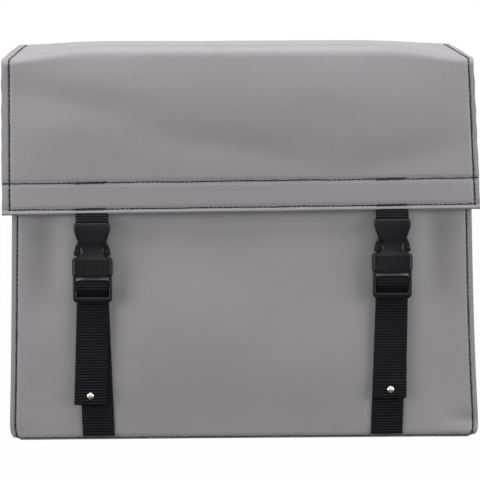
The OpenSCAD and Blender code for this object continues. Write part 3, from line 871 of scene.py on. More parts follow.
def build_flap_liner(sizes):
    """Felt behind the lid's flap, pressed a little thinner than the rest."""
    flap_low, flap_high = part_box("lid_flap_liner")
    across = np.linspace(flap_high.x, -flap_high.x, 64)
    x, z = np.meshgrid(across, np.linspace(flap_low.z, flap_high.z, 30))
    grid = lid_face(sizes, x, flap_run(sizes, x, np.minimum(z, lid_fold(sizes, x).flap_z)))
    grid[..., 1] = np.minimum(grid[..., 1] + CLOTH + FELT - FLAP_NEST, FRONT - FRONT_GAP)
    flap = cloth("lid_flap_liner_felt", [grid], FELT * FELT_PRESS, felt_finish())
    place(flap, "lid", "felt_liner", "lid_flap_liner")


HEM_START = 0.0008


def build_lid_hem(sizes):
    """Hem inside the flap's lower edge."""
    hem_top = high("lid_hem").z
    flap_high = high("lid_flap_liner")
    x, share = np.meshgrid(np.linspace(flap_high.x, -flap_high.x, 80), np.linspace(0, 1, 14))
    bottom = flap_edge(x) + HEM_START
    z = bottom + (hem_top - bottom) * share
    grid = lid_face(sizes, x, flap_run(sizes, x, np.maximum(z, flap_edge(x) + LIP)))
    grid[..., 1] += CLOTH + HEM
    grid[..., 2] = z
    hem = cloth("lid_hem_cloth", [grid], HEM, fabric_finish())
    place(hem, "lid", "coated_fabric", "lid_hem")


# Webbing
RING_STEPS = 17
SELVEDGE = 14


def strap_ring(swell):
    """Cross-section of the webbing as (across, out) points, with thin selvedges."""
    reach = np.sin(np.linspace(-1, 1, RING_STEPS) * math.pi / 2)
    half = WEB / 2 * (1 - np.abs(reach) ** SELVEDGE) ** 0.5 * swell
    front = [(a * WEB_WIDTH / 2, h) for a, h in zip(reach, half)]
    back = [(a * WEB_WIDTH / 2, -h) for a, h in zip(reach[-2:0:-1], half[-2:0:-1])]
    return front + back


def resample(path, step):
    """Even steps along a path of points."""
    path = np.asarray(path, dtype=float)
    run = np.append(0, np.cumsum(np.linalg.norm(np.diff(path, axis=0), axis=1)))
    places = np.linspace(0, run[-1], max(2, int(run[-1] / step)))
    return np.stack([np.interp(places, run, path[:, axis]) for axis in range(path.shape[1])], axis=1), places


def ease_path(path, passes):
    """Rounds the corners of an even path."""
    for _ in range(passes):
        path = path.copy()
        path[1:-1] = (path[:-2] + 2 * path[1:-1] + path[2:]) / 4
    return path


RIB_STEPS = 4
FRAY_REACH = 0.003
FRAY_ACROSS = 900
FRAY_OUT = 300
FRAY_ALONG = 40


def strap(sizes, name, path, rounding, fray=0.0):
    """Ribbed webbing along a path of (x, y, z) points on its middle. Its outer face is on the left of
    the path when it is seen from the right."""
    middle, run = resample(path, sizes.rib_pitch / RIB_STEPS)
    middle = ease_path(middle, rounding)
    ahead = np.gradient(middle, axis=0)
    outside = unit(np.stack([0 * ahead[:, 0], -ahead[:, 2], ahead[:, 1]], axis=1))
    points, uv = [], []
    for place_on, normal, at in zip(middle, outside, run):
        swell = 1 + sizes.rib_height / WEB * 2 * math.sin(2 * math.pi * at / sizes.rib_pitch)
        loose = fray * smooth(1 - min(at, run[-1] - at) / FRAY_REACH)
        for across, out in strap_ring(swell):
            wander = loose * noise.noise((across * FRAY_ACROSS, out * FRAY_OUT, at * FRAY_ALONG))
            points.append(place_on + normal * out + np.array((across, 0, wander)))
            uv.append((across, at))
    size = len(strap_ring(1))
    faces = [list(range(size))]
    for r in range(len(middle) - 1):
        for c in range(size):
            here, there = r * size + c, r * size + (c + 1) % size
            faces.append([here, here + size, there + size, there])
    last = (len(middle) - 1) * size
    faces.append([last + c for c in reversed(range(size))])
    obj = make_object(name, points, faces, uv)
    obj.data.materials.append(webbing_finish())
    face_outwards(obj)
    return obj, float(run[-1])


def face_outwards(obj):
    """Turns all faces of a closed mesh outwards."""
    work = bmesh.new()
    work.from_mesh(obj.data)
    bmesh.ops.recalc_face_normals(work, faces=work.faces)
    work.to_mesh(obj.data)
    work.free()
    shade_smooth(obj.data)


def at_buckle(side, points):
    """Points given as (offset in front of the front panel, height above the socket's top), in the frame."""
    return [(strap_x(side), FRONT - off, socket_top(side) + up) for off, up in points]


def arc(centre, radius, start, end, steps):
    """Points round part of a circle, with angles in degrees."""
    angles = np.radians(np.linspace(start, end, steps))
    return [(centre[0] + radius * math.cos(a), centre[1] + radius * math.sin(a)) for a in angles]


BAR_DROP = 0.006
WRAP = 0.0025
TENSION_BAR_H = 0.0048
TENSION_DROP = 0.0106
BOTTOM_BAR_H = 0.0044


def buckle_facts(side):
    """Places inside a buckle, as offsets in front of the front panel and heights above the socket's top."""
    socket_low, socket_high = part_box(side + "_buckle_socket")
    plug_low, plug_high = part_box(side + "_buckle_plug")
    loop_low, loop_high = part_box(side + "_strap_loop")
    tail_low, tail_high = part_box(side + "_strap_tail")
    top = socket_high.z
    return {
        "middle": FRONT - (socket_low.y + socket_high.y) / 2,
        "back": FRONT - socket_high.y,
        "front": FRONT - socket_low.y,
        "mouth": socket_low.z - top,
        "half": (socket_high.x - socket_low.x) / 2,
        "plug_back": FRONT - plug_high.y,
        "plug_front": FRONT - plug_low.y,
        "plug_low": plug_low.z - top,
        "plug_half": (plug_high.x - plug_low.x) / 2,
        "loop_low": loop_low.z - top,
        "tension_bar": loop_high.z - top - WRAP - WEB / 2,
        "tail_top": JOINTS[side + "_tail_swing"]["pos_m"][2] - top,
        "tail_back": FRONT - tail_high.y,
        "tail_end": tail_low.z - top,
    }


def build_straps(sizes):
    """Upper straps, loops over the tension bars, tails with folded ends, and anchor straps."""
    for side in SIDES:
        facts = buckle_facts(side)
        build_upper_strap(sizes, side, facts)
        build_loop(sizes, side, facts)
        build_tail(sizes, side, facts)
        build_anchor(sizes, side)


def declare_strap(obj, body, node):
    """Ties a strap to its body and hides the CAD node that it stands for."""
    place(obj, body, "webbing", node)


LEAVES_FLAP = 0.004
RETURN_START = 0.0005
RETURN_END = 0.0085


def build_upper_strap(sizes, side, facts):
    """From inside the flap, round the socket's bar and back up."""
    sewn = FRONT - high(side + "_upper_strap").y + WEB / 2
    top = high(side + "_upper_strap").z - socket_top(side)
    bar = (facts["middle"], -BAR_DROP)
    path = [(sewn, top), (sewn, LEAVES_FLAP), (bar[0] - WRAP, bar[1])]
    path += arc(bar, WRAP, start=180, end=360, steps=9)
    path += [(bar[0] + WRAP * 0.9, RETURN_START), (sewn + 1.2 * WEB, RETURN_END)]
    obj, run = strap(sizes, side + "_upper_strap_web", at_buckle(side, path), rounding=3)
    declare_strap(obj, "lid", side + "_upper_strap")


def build_loop(sizes, side, facts):
    """Up behind the plug's frame, over the tension bar and down behind the bottom bar."""
    bar_low = facts["mouth"] - TENSION_DROP
    bar = (facts["middle"], facts["tension_bar"])
    layer = facts["tail_back"] + WEB / 2
    rear = FRONT - high(side + "_strap_loop").y + WEB / 2
    path = [(rear, facts["loop_low"]), (bar[0] - WRAP, bar_low), (bar[0] - WRAP, bar[1])]
    path += arc(bar, WRAP, start=180, end=0, steps=9)
    path += [(bar[0] + WRAP, bar_low), (layer, facts["plug_low"] + BOTTOM_BAR_H), (layer, facts["plug_low"])]
    obj, run = strap(sizes, side + "_strap_loop_web", at_buckle(side, path), rounding=3)
    declare_strap(obj, side + "_plug", side + "_strap_loop")


TAIL_FOLD = 0.015


def build_tail(sizes, side, facts):
    """Loose tail whose end is folded forward and riveted."""
    layer = facts["tail_back"] + WEB / 2
    end = facts["tail_end"]
    turn = (layer + WEB / 2, end + WEB)
    path = [(layer, facts["tail_top"] + WEB / 2), (layer, turn[1])]
    path += arc(turn, WEB / 2, start=180, end=360, steps=7)
    path += [(layer + WEB, end + TAIL_FOLD)]
    rivet = (low(side + "_tail_rivet") + high(side + "_tail_rivet")) / 2
    axis = JOINTS[side + "_tail_swing"]["pos_m"]
    lean = (rivet.x - axis[0]) / (axis[2] - rivet.z)
    leaning = [(x + lean * (axis[2] - z), y, z) for x, y, z in at_buckle(side, path)]
    obj, run = strap(sizes, side + "_strap_tail_web", leaning, rounding=2)
    declare_strap(obj, side + "_tail", side + "_strap_tail")


def build_anchor(sizes, side):
    """Lower strap, flat on the front panel from the buckle to the base."""
    start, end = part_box(side + "_anchor_strap")
    y = FRONT - WEB / 2
    outer = end.x - WEB_WIDTH / 2 if side == "left" else start.x + WEB_WIDTH / 2
    foot = Vector((outer, y, start.z))
    head = Vector((strap_x(side), y, end.z))
    obj, run = strap(sizes, side + "_anchor_strap_web", [head, foot], rounding=0, fray=0.0007)
    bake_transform(obj)
    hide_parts(side + "_anchor_strap")


# Buckles
# Side outline of a socket, as sizes and as heights below its top or above its mouth
SHOULDER_INSET = 0.0016
SHOULDER_ROUND = 0.0026
SHOULDER_END = -0.005
WAIST = -0.0155
WAIST_HALF = 0.01062
WAIST_BEND = 1.25
NOTCH_INSET = 0.00015
NOTCH_RISE = 0.0201
NOTCH_ROUND = 0.0072
NOTCH_END = 0.0139
BLOCK_TOP = 0.0118
MOUTH_ROUND = 0.0007


def round_over(radius, away):
    """How far a round stands out from its centre line, at a distance along that line."""
    return math.sqrt(max(radius ** 2 - away ** 2, 0))


def socket_width(facts, up):
    """Half the socket's width at a height below its top: round shoulders, a waist, a notch and a block."""
    shoulder = facts["half"] - SHOULDER_INSET
    notch = facts["half"] - NOTCH_INSET
    above_mouth = up - facts["mouth"]
    if up > -SHOULDER_ROUND:
        return shoulder - SHOULDER_ROUND + round_over(SHOULDER_ROUND, up + SHOULDER_ROUND)
    if up > SHOULDER_END:
        return shoulder
    if up > WAIST:
        share = (SHOULDER_END - up) / (SHOULDER_END - WAIST)
        return shoulder + (WAIST_HALF - shoulder) * share ** WAIST_BEND
    if above_mouth > NOTCH_END:
        return notch - round_over(NOTCH_ROUND, above_mouth - NOTCH_RISE)
    if above_mouth > BLOCK_TOP:
        share = (NOTCH_END - above_mouth) / (NOTCH_END - BLOCK_TOP)
        start = notch - round_over(NOTCH_ROUND, NOTCH_END - NOTCH_RISE)
        return start + (facts["half"] - start) * math.sin(share * math.pi / 2)
    return facts["half"] - MOUTH_ROUND + round_over(MOUTH_ROUND, max(MOUTH_ROUND - above_mouth, 0))


def socket_section(half, back, front, front_round, back_round):
    """Outline of the socket from above: large rounds in front and small ones behind."""
    corners = (
        (half - front_round, front - front_round, front_round, 0),
        (-half + front_round, front - front_round, front_round, 90),
        (-half + back_round, back + back_round, back_round, 180),
        (half - back_round, back + back_round, back_round, 270),
    )
    outline = []
    for x, off, radius, start in corners:
        outline += arc((x, off), radius, start, end=start + 90, steps=7)
    return outline


# Heights where a socket's rings lie closer or wider, and its rounds
SHOULDER_BAND = -0.0028
NOTCH_BAND = -0.0269
BLOCK_BAND = -0.0292
MOUTH_BAND = 0.0008
TOP_ROUND = 0.0012
FRONT_ROUND = 0.0018
BACK_ROUND = 0.0008
BLOCK_ROUND = 0.0014
BLOCK_START = 0.0152
BLOCK_EASE = 0.004


def build_sockets():
    """Socket of each buckle: a moulded sleeve with a waist, a cavity and an opening for the strap."""
    plastic = plastic_finish()
    for side in SIDES:
        facts = buckle_facts(side)
        mouth = facts["mouth"]
        heights = spread((0, SHOULDER_BAND, 8), (SHOULDER_BAND, WAIST, 12), (WAIST, NOTCH_BAND, 22),
                         (NOTCH_BAND, BLOCK_BAND, 8), (BLOCK_BAND, mouth + MOUTH_BAND, 8),
                         (mouth + MOUTH_BAND, mouth, 4))
        points, rings = [], []
        for up in heights:
            half = socket_width(facts, up)
            in_block = smooth((mouth + BLOCK_START - up) / BLOCK_EASE)
            crown = TOP_ROUND - round_over(TOP_ROUND, max(TOP_ROUND + up, 0))
            front_round = FRONT_ROUND + BLOCK_ROUND * in_block
            section = socket_section(half, facts["back"], facts["front"] - crown, front_round, BACK_ROUND)
            rings.append(range(len(points), len(points) + len(section)))
            points += [(strap_x(side) + x, FRONT - off, socket_top(side) + up) for x, off in section]
        obj = make_object(side + "_socket_moulding", points, loft_faces(rings))
        face_outwards(obj)
        cut(obj, socket_cavity(side, facts))
        cut(obj, strap_window(side, facts))
        add_bar(obj, side, facts)
        obj.data.materials.clear()
        obj.data.materials.append(plastic)
        place(obj, "lid", "buckle_plastic", side + "_buckle_socket")


def loft_faces(rings):
    """Faces between rings of points, with the two ends closed."""
    size = len(rings[0])
    faces = [list(rings[0]), list(reversed(rings[-1]))]
    for near, far in zip(rings, rings[1:]):
        for c in range(size):
            faces.append([near[c], far[c], far[(c + 1) % size], near[(c + 1) % size]])
    return faces


def add_cube(work, start, end):
    """Adds a plain block to a mesh in the making."""
    made = bmesh.ops.create_cube(work, size=1)["verts"]
    middle = (Vector(start) + Vector(end)) / 2
    scale = Matrix.Diagonal((*(Vector(end) - Vector(start)), 1))
    bmesh.ops.transform(work, matrix=Matrix.Translation(middle) @ scale, verts=made)
    return made


def box_object(name, start, end):
    """A plain block, used only for cutting."""
    work = bmesh.new()
    add_cube(work, start, end)
    mesh = bpy.data.meshes.new(name)
    work.to_mesh(mesh)
    work.free()
    return add_object(name, mesh)


CAVITY_WALL = 0.00205
CAVITY_HALF = 0.00245
CAVITY_TOP = -0.0138
CUT_PAST = 0.001


def socket_cavity(side, facts):
    """Space that the plug's blades slide in."""
    x, y, top = strap_x(side), FRONT - facts["middle"], socket_top(side)
    half = facts["half"] - CAVITY_WALL
    return box_object(
        "cavity",
        (x - half, y - CAVITY_HALF, top + facts["mouth"] - CUT_PAST),
        (x + half, y + CAVITY_HALF, top + CAVITY_TOP),
    )


WEB_GAP = 0.0002
WINDOW_GAP = 0.0001
WINDOW_BOTTOM = -0.0099


def strap_window(side, facts):
    """Space at the top where the strap goes in behind the front wall."""
    x, top = strap_x(side), socket_top(side)
    half = WEB_WIDTH / 2 + WEB_GAP
    return box_object(
        "window",
        (x - half, FRONT - facts["middle"] - WRAP - WEB / 2 - WINDOW_GAP, top + WINDOW_BOTTOM),
        (x + half, FRONT + CUT_PAST, top + CUT_PAST),
    )


def cut(obj, cutter):
    """Cuts one mesh out of another and removes the cutter."""
    modifier = obj.modifiers.new("Cut", "BOOLEAN")
    modifier.operation = "DIFFERENCE"
    modifier.solver = "EXACT"
    modifier.object = cutter
    keep_result(obj)
    bpy.data.objects.remove(cutter)


def keep_result(obj):
    """Turns a piece with modifiers into a plain mesh."""
    graph = bpy.context.evaluated_depsgraph_get()
    graph.update()
    mesh = bpy.data.meshes.new_from_object(obj.evaluated_get(graph))
    obj.modifiers.clear()
    obj.data = mesh
    shade_smooth(mesh)


BAR_RADIUS = 0.0015
BAR_ROOT = 0.0008


def add_bar(obj, side, facts):
    """Bar across the socket's opening that the strap goes round."""
    work = bmesh.new()
    work.from_mesh(obj.data)
    place_at = Vector((strap_x(side), FRONT - facts["middle"], socket_top(side) - BAR_DROP))
    turn = Matrix.Rotation(math.pi / 2, 4, "Y")
    bmesh.ops.create_cone(work, cap_ends=True, segments=20, radius1=BAR_RADIUS, radius2=BAR_RADIUS,
                          depth=WEB_WIDTH + 2 * BAR_ROOT, matrix=Matrix.Translation(place_at) @ turn)
    work.to_mesh(obj.data)
    work.free()
    shade_smooth(obj.data)


def frame_curve(name, outlines, thickness, edge):
    """A flat plate with rounded edges from closed outlines in (x, height), standing in the x-z plane."""
    curve = bpy.data.curves.new(name, "CURVE")
    curve.dimensions = "2D"
    curve.fill_mode = "BOTH"
    curve.extrude = thickness / 2 - edge
    curve.bevel_depth = edge
    curve.bevel_resolution = 3
    curve.offset = -edge
    for outline in outlines:
        spline = curve.splines.new("POLY")
        spline.points.add(len(outline) - 1)
        for point, (x, up) in zip(spline.points, outline):
            point.co = (x, up, 0, 1)
        spline.use_cyclic_u = True
    obj = bpy.data.objects.new(name, curve)
    bpy.context.scene.collection.objects.link(obj)
    graph = bpy.context.evaluated_depsgraph_get()
    mesh = bpy.data.meshes.new_from_object(obj.evaluated_get(graph))
    bpy.data.objects.remove(obj)
    mesh.transform(Matrix.Rotation(math.pi / 2, 4, "X"))
    return mesh


def rounded_outline(half, bottom, top, bottom_round, top_round):
    """A rectangle in (x, height) with its own rounds below and above."""
    corners = (
        (half - top_round, top - top_round, top_round, 0, 6),
        (-half + top_round, top - top_round, top_round, 90, 6),
        (-half + bottom_round, bottom + bottom_round, bottom_round, 180, 9),
        (half - bottom_round, bottom + bottom_round, bottom_round, 270, 9),
    )
    outline = []
    for x, up, radius, start, steps in corners:
        outline += arc((x, up), radius, start, start + 90, steps)
    return outline


def add_block(work, start, end, edge):
    """Adds a block with rounded edges to a mesh in the making."""
    made = add_cube(work, start, end)
    edges = list({e for v in made for e in v.link_edges})
    bmesh.ops.bevel(work, geom=edges, offset=edge, segments=3, profile=0.5, affect="EDGES")


MERGE_DISTANCE = 1e-6
PLUG_OPENING = WEB_WIDTH / 2 + WEB_GAP
PLUG_GAP = 0.0003
OPENING_DROP = 0.0013
BLADE_HALF = 0.002
SHOULDER_WALL = 0.00235
SHOULDER_SINK = 0.0012
SHOULDER_HEIGHT = 0.0038
GUIDE_HALF = 0.0025
GUIDE_START = 0.003


def plug_frame(side, facts):
    """Frame of a plug: a rounded plate with a wide opening for the webbing."""
    outer = rounded_outline(facts["plug_half"], facts["plug_low"], facts["mouth"] - PLUG_GAP,
                            bottom_round=0.0036, top_round=0.001)
    hole = rounded_outline(PLUG_OPENING, facts["plug_low"] + BOTTOM_BAR_H, facts["mouth"] - OPENING_DROP,
                           bottom_round=0.0008, top_round=0.0006)
    thick = facts["plug_front"] - facts["plug_back"]
    mesh = frame_curve(side + "_plug_moulding", [outer, hole], thick, edge=0.0011)
    middle = (facts["plug_front"] + facts["plug_back"]) / 2
    mesh.transform(Matrix.Translation((strap_x(side), FRONT - middle, socket_top(side))))
    return mesh


def add_plug_blocks(work, side, facts):
    """Adds the shoulder, the guide blade and the tension bar of a plug to its frame."""
    x, y, top = strap_x(side), FRONT - facts["middle"], socket_top(side)
    mouth = top + facts["mouth"]
    shoulder = facts["half"] - SHOULDER_WALL
    bar_half = PLUG_OPENING + BAR_ROOT
    bar_top = top + facts["tension_bar"] + BAR_RADIUS
    add_block(work, (x - shoulder, y - BLADE_HALF, mouth - SHOULDER_SINK),
              (x + shoulder, y + BLADE_HALF, mouth + SHOULDER_HEIGHT), edge=0.0005)
    add_block(work, (x - GUIDE_HALF, y - BLADE_HALF, mouth + GUIDE_START),
              (x + GUIDE_HALF, y + BLADE_HALF, high(side + "_buckle_plug").z), edge=0.0006)
    add_block(work, (x - bar_half, y - BAR_RADIUS, bar_top - TENSION_BAR_H),
              (x + bar_half, y + BAR_RADIUS, bar_top), edge=0.0012)


def build_plugs():
    """Plug of each buckle: a rounded frame with a tension bar, a shoulder and a guide blade."""
    plastic = plastic_finish()
    for side in SIDES:
        facts = buckle_facts(side)
        mesh = plug_frame(side, facts)
        work = bmesh.new()
        work.from_mesh(mesh)
        bmesh.ops.remove_doubles(work, verts=work.verts, dist=MERGE_DISTANCE)
        bmesh.ops.recalc_face_normals(work, faces=work.faces)
        add_plug_blocks(work, side, facts)
        work.to_mesh(mesh)
        work.free()
        mesh.materials.clear()
        mesh.materials.append(plastic)
        obj = add_object(side + "_plug_moulding", mesh)
        place(obj, side + "_plug", "buckle_plastic", side + "_buckle_plug")


EAR_HEIGHT = 0.0125
EAR_SLANT = 0.0034
EAR_CUTS = np.linspace(0.15, 0.85, 6)


def slant_ear(work, side):
    """Draws in the outer corner at the top of a latch's ear."""
    middle = strap_x(side)
    out = math.copysign(1, sum(v.co.x - middle for v in work.verts))
    reach = max(out * (v.co.x - middle) for v in work.verts)
    top = max(v.co.z for v in work.verts)
    for level in EAR_CUTS:
        bmesh.ops.bisect_plane(work, geom=[*work.verts, *work.edges, *work.faces],
                               plane_co=(0, 0, top - level * EAR_HEIGHT), plane_no=(0, 0, 1))
    for vertex in work.verts:
        share = max(0, 1 - (top - vertex.co.z) / EAR_HEIGHT) ** 2
        vertex.co.x = middle + out * min(out * (vertex.co.x - middle), reach - EAR_SLANT * share)


FLAT_ANGLE = math.radians(2)
EDGE_ANGLE = math.radians(50)


def build_latches():
    """Latch arms: rounded copies of the arms in the frame, with slanted ears."""
    plastic = plastic_finish()
    for side in SIDES:
        for part in ("outer", "inner"):
            node = "%s_%s_latch_arm" % (side, part)
            work = bmesh.new()
            work.from_mesh(frame["nodes"][node].data)
            bmesh.ops.remove_doubles(work, verts=work.verts, dist=MERGE_DISTANCE)
            bmesh.ops.dissolve_limit(work, angle_limit=FLAT_ANGLE, verts=work.verts, edges=work.edges)
            sharp = [e for e in work.edges if e.is_manifold and e.calc_face_angle(0) > EDGE_ANGLE]
            bmesh.ops.bevel(work, geom=sharp, offset=0.0006, segments=3, profile=0.5, affect="EDGES",
                            clamp_overlap=True)
            slant_ear(work, side)
            mesh = bpy.data.meshes.new(node + "_moulding")
            work.to_mesh(mesh)
            work.free()
            mesh.materials.append(plastic)
            obj = add_object(node + "_moulding", mesh)
            place(obj, "%s_%s_arm" % (side, part), "buckle_plastic", node)


LATHE_STEPS = 32


def lathe(name, outline, centre, finish):
    """A turned shape round the y axis from (radius, offset towards the front) points."""
    points, rings = [], []
    for radius, off in outline:
        rings.append(range(len(points), len(points) + LATHE_STEPS))
        for step in range(LATHE_STEPS):
            angle = 2 * math.pi * step / LATHE_STEPS
            across, up = radius * math.cos(angle), radius * math.sin(angle)
            points.append((centre.x + across, centre.y - off, centre.z + up))
    obj = make_object(name, points, loft_faces(rings))
    face_outwards(obj)
    obj.data.materials.append(finish)
    return obj


# Turned shapes of a rivet and its cap
RIVET_SEAT = 0.0014
RIVET_SHANK = 0.0015
RIM_ROUND = 0.0002
DOME_FULLNESS = 0.9
DOME_ANGLES = np.linspace(0.02, 1.35, 9)
CAP_HOLE = 0.0005
BURR_RADIUS = 0.0013
BURR_EDGE = 0.0016
BURR_HEIGHT = 0.00015


def rivet_outline(radius, shank_end):
    """Half outline of a rivet: the dome, its rim and the shank."""
    dome = [(radius * math.sin(a), RIVET_SEAT * (math.cos(a) ** DOME_FULLNESS)) for a in DOME_ANGLES]
    rim = [(radius * 0.99, RIM_ROUND), (radius * 0.93, 0)]
    return dome + rim + [(RIVET_SHANK, 0), (RIVET_SHANK, shank_end)]


def cap_outline(radius, thick):
    """Half outline of a rivet's cap: a disc with a small burr round its hole."""
    burr = [(CAP_HOLE, 0), (BURR_RADIUS, BURR_HEIGHT), (BURR_EDGE, 0)]
    disc = [(radius * 0.92, 0), (radius, RIM_ROUND), (radius, thick), (CAP_HOLE, thick)]
    return [(r, thick - off) for r, off in burr + disc][::-1]


def build_rivets():
    """Domed rivet through each tail's fold, and the cap behind it."""
    metal = rivet_finish()
    for side in SIDES:
        start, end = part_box(side + "_tail_rivet")
        cap_start, cap_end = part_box(side + "_rivet_cap")
        radius = (end.x - start.x) / 2
        centre = Vector(((start.x + end.x) / 2, start.y + RIVET_SEAT, (start.z + end.z) / 2))
        behind = Vector((centre.x, cap_end.y, centre.z))
        head = lathe(side + "_rivet_metal", rivet_outline(radius, centre.y - end.y), centre, metal)
        place(head, side + "_tail", "rivet_metal", side + "_tail_rivet")
        cap = lathe(side + "_rivet_cap_metal", cap_outline(radius, cap_end.y - cap_start.y), behind, metal)
        place(cap, side + "_tail", "rivet_metal", side + "_rivet_cap")


# Stitching
def stitch_tree():
    """Geometry nodes that lay stitches along every line of a mesh."""
    tree = bpy.data.node_groups.new("Stitch Rows", "GeometryNodeTree")
    face = tree.interface
    face.new_socket("Lines", in_out="INPUT", socket_type="NodeSocketGeometry")
    for name in ("Pitch", "Length", "Thread", "Waver"):
        face.new_socket(name, in_out="INPUT", socket_type="NodeSocketFloat")
    face.new_socket("Seed", in_out="INPUT", socket_type="NodeSocketInt")
    face.new_socket("Material", in_out="INPUT", socket_type="NodeSocketMaterial")
    face.new_socket("Stitches", in_out="OUTPUT", socket_type="NodeSocketGeometry")
    nodes, link = tree.nodes, tree.links.new
    given = nodes.new("NodeGroupInput")
    result = nodes.new("NodeGroupOutput")
    curve = nodes.new("GeometryNodeMeshToCurve")
    even = nodes.new("GeometryNodeResampleCurve")
    even.mode = "LENGTH"
    tangent = nodes.new("GeometryNodeInputTangent")
    align = nodes.new("FunctionNodeAlignRotationToVector")
    align.axis = "X"
    waver = nodes.new("FunctionNodeRandomValue")
    waver.data_type = "FLOAT_VECTOR"
    opposite = nodes.new("ShaderNodeMath")
    opposite.operation = "MULTIPLY"
    opposite.inputs[1].default_value = -1
    shake = nodes.new("GeometryNodeSetPosition")
    bead = nodes.new("GeometryNodeMeshUVSphere")
    bead.inputs["Segments"].default_value = 8
    bead.inputs["Rings"].default_value = 6
    bead.inputs["Radius"].default_value = 0.5
    size = nodes.new("ShaderNodeCombineXYZ")
    spindle = nodes.new("GeometryNodeTransform")
    repeat = nodes.new("GeometryNodeInstanceOnPoints")
    uneven = nodes.new("FunctionNodeRandomValue")
    uneven.data_type = "FLOAT_VECTOR"
    uneven.inputs["Min"].default_value = (0.72, 0.85, 0.85)
    uneven.inputs["Max"].default_value = (1.15, 1.1, 1.1)
    real = nodes.new("GeometryNodeRealizeInstances")
    finish = nodes.new("GeometryNodeSetMaterial")
    link(given.outputs["Lines"], curve.inputs["Mesh"])
    link(curve.outputs["Curve"], even.inputs["Curve"])
    link(given.outputs["Pitch"], even.inputs["Length"])
    link(even.outputs["Curve"], shake.inputs["Geometry"])
    link(given.outputs["Waver"], opposite.inputs[0])
    link(given.outputs["Waver"], waver.inputs["Max"])
    link(opposite.outputs["Value"], waver.inputs["Min"])
    link(given.outputs["Seed"], waver.inputs["Seed"])
    link(waver.outputs["Value"], shake.inputs["Offset"])
    link(tangent.outputs["Tangent"], align.inputs["Vector"])
    link(given.outputs["Length"], size.inputs["X"])
    link(given.outputs["Thread"], size.inputs["Y"])
    link(given.outputs["Thread"], size.inputs["Z"])
    link(bead.outputs["Mesh"], spindle.inputs["Geometry"])
    link(size.outputs["Vector"], spindle.inputs["Scale"])
    link(shake.outputs["Geometry"], repeat.inputs["Points"])
    link(spindle.outputs["Geometry"], repeat.inputs["Instance"])
    link(align.outputs["Rotation"], repeat.inputs["Rotation"])
    link(given.outputs["Seed"], uneven.inputs["Seed"])
    link(uneven.outputs["Value"], repeat.inputs["Scale"])
    link(repeat.outputs["Instances"], real.inputs["Geometry"])
    link(real.outputs["Geometry"], finish.inputs["Geometry"])
    link(given.outputs["Material"], finish.inputs["Material"])
    link(finish.outputs["Geometry"], result.inputs["Stitches"])
    return tree


THREAD_WAVER = 0.12


def stitch_rows(name, lines, sizes, tree, pitch, seed):
    """A plain mesh of stitches along several lines of points."""
    points, edges = [], []
    for line in lines:
        first = len(points)
        points += [tuple(p) for p in line]
        edges += [(first + i, first + i + 1) for i in range(len(line) - 1)]
    mesh = bpy.data.meshes.new(name)
    mesh.from_pydata(points, edges, [])
    obj = bpy.data.objects.new(name, mesh)
    bpy.context.scene.collection.objects.link(obj)
    modifier = obj.modifiers.new("Stitches", "NODES")
    modifier.node_group = tree
    values = {
        "Pitch": pitch,
        "Length": sizes.stitch_length * pitch / sizes.stitch_pitch,
        "Thread": sizes.thread,
        "Waver": THREAD_WAVER * sizes.thread,
        "Seed": seed,
        "Material": thread_finish(),
    }
    for item in tree.interface.items_tree:
        if item.in_out == "INPUT" and item.name in values:
            modifier[item.identifier] = values[item.name]
    keep_result(obj)
    return obj


def lid_line(lid, x, run, lift):
    """Points just above the lid's outer face."""
    grid = lid_face(lid, np.asarray(x, dtype=float), np.asarray(run, dtype=float))
    turn = lid_turn(lid_fold(lid, np.asarray(x)), np.asarray(run))
    grid[..., 1] -= lift * np.sin(turn)
    grid[..., 2] += lift * np.cos(turn)
    return grid


# Lifts in parts of the thread, and pitches in parts of the stitch pitch
STITCH_LIFT = 0.3
LID_ROW_STEPS = 150
LID_ROW_START = 0.1
ROW_WAVER = 0.0004
TACK_STEPS = 44
TACK_ZIGZAG = 0.00055
TACK_LIFT = 1.6
TACK_PITCH = 0.42


def build_lid_stitches(lid, straps, tree):
    """Side seams and hem of the lid, with back-tacks over the straps."""
    lift = STITCH_LIFT * straps.thread
    rows, tacks = [], []
    for side in SIDES.values():
        x = np.full(LID_ROW_STEPS, seam_x(lid, side))
        last = flap_run(lid, x[:1], flap_edge(x[:1]) + lid.low_stitch)[0]
        rows.append(lid_line(lid, x, np.linspace(LID_ROW_START, last, LID_ROW_STEPS), lift))
    edge = LID_EDGE - 0.5 * straps.stitch_length
    ends = {lid.low_stitch: (seam_x(lid, -1), seam_x(lid, 1)), lid.high_stitch: (-edge, edge)}
    for height, (start, end) in ends.items():
        x = np.linspace(start, end, LID_ROW_STEPS)
        waver = ROW_WAVER * ripple(x, 0 * x, size=0.03, seed=height * 900)
        rows.append(lid_line(lid, x, flap_run(lid, x, flap_edge(x) + height + waver), lift))
        for side in SIDES:
            tack = strap_x(side) + np.linspace(-0.46, 0.42, TACK_STEPS) * WEB_WIDTH
            zigzag = TACK_ZIGZAG * np.where(np.arange(TACK_STEPS) % 2, 1, -1)
            run = flap_run(lid, tack, flap_edge(tack) + height + zigzag)
            tacks.append(lid_line(lid, tack, run, TACK_LIFT * lift))
    row = stitch_rows("lid_stitching", rows, straps, tree, straps.stitch_pitch, seed=4)
    place(row, "lid", "webbing")
    tacking = stitch_rows("lid_back_tacks", tacks, straps, tree, TACK_PITCH * straps.stitch_pitch, seed=9)
    place(tacking, "lid", "webbing")


UP_STEPS = 120
ACROSS_STEPS = 140
SEAM_START = 0.004
SEAM_END = 0.002
MOUTH_ROWS = (0.004, 0.016)
BASE_ROW = 0.0016
BASE_ROW_LIFT = 0.2
BASE_PITCH = 0.7


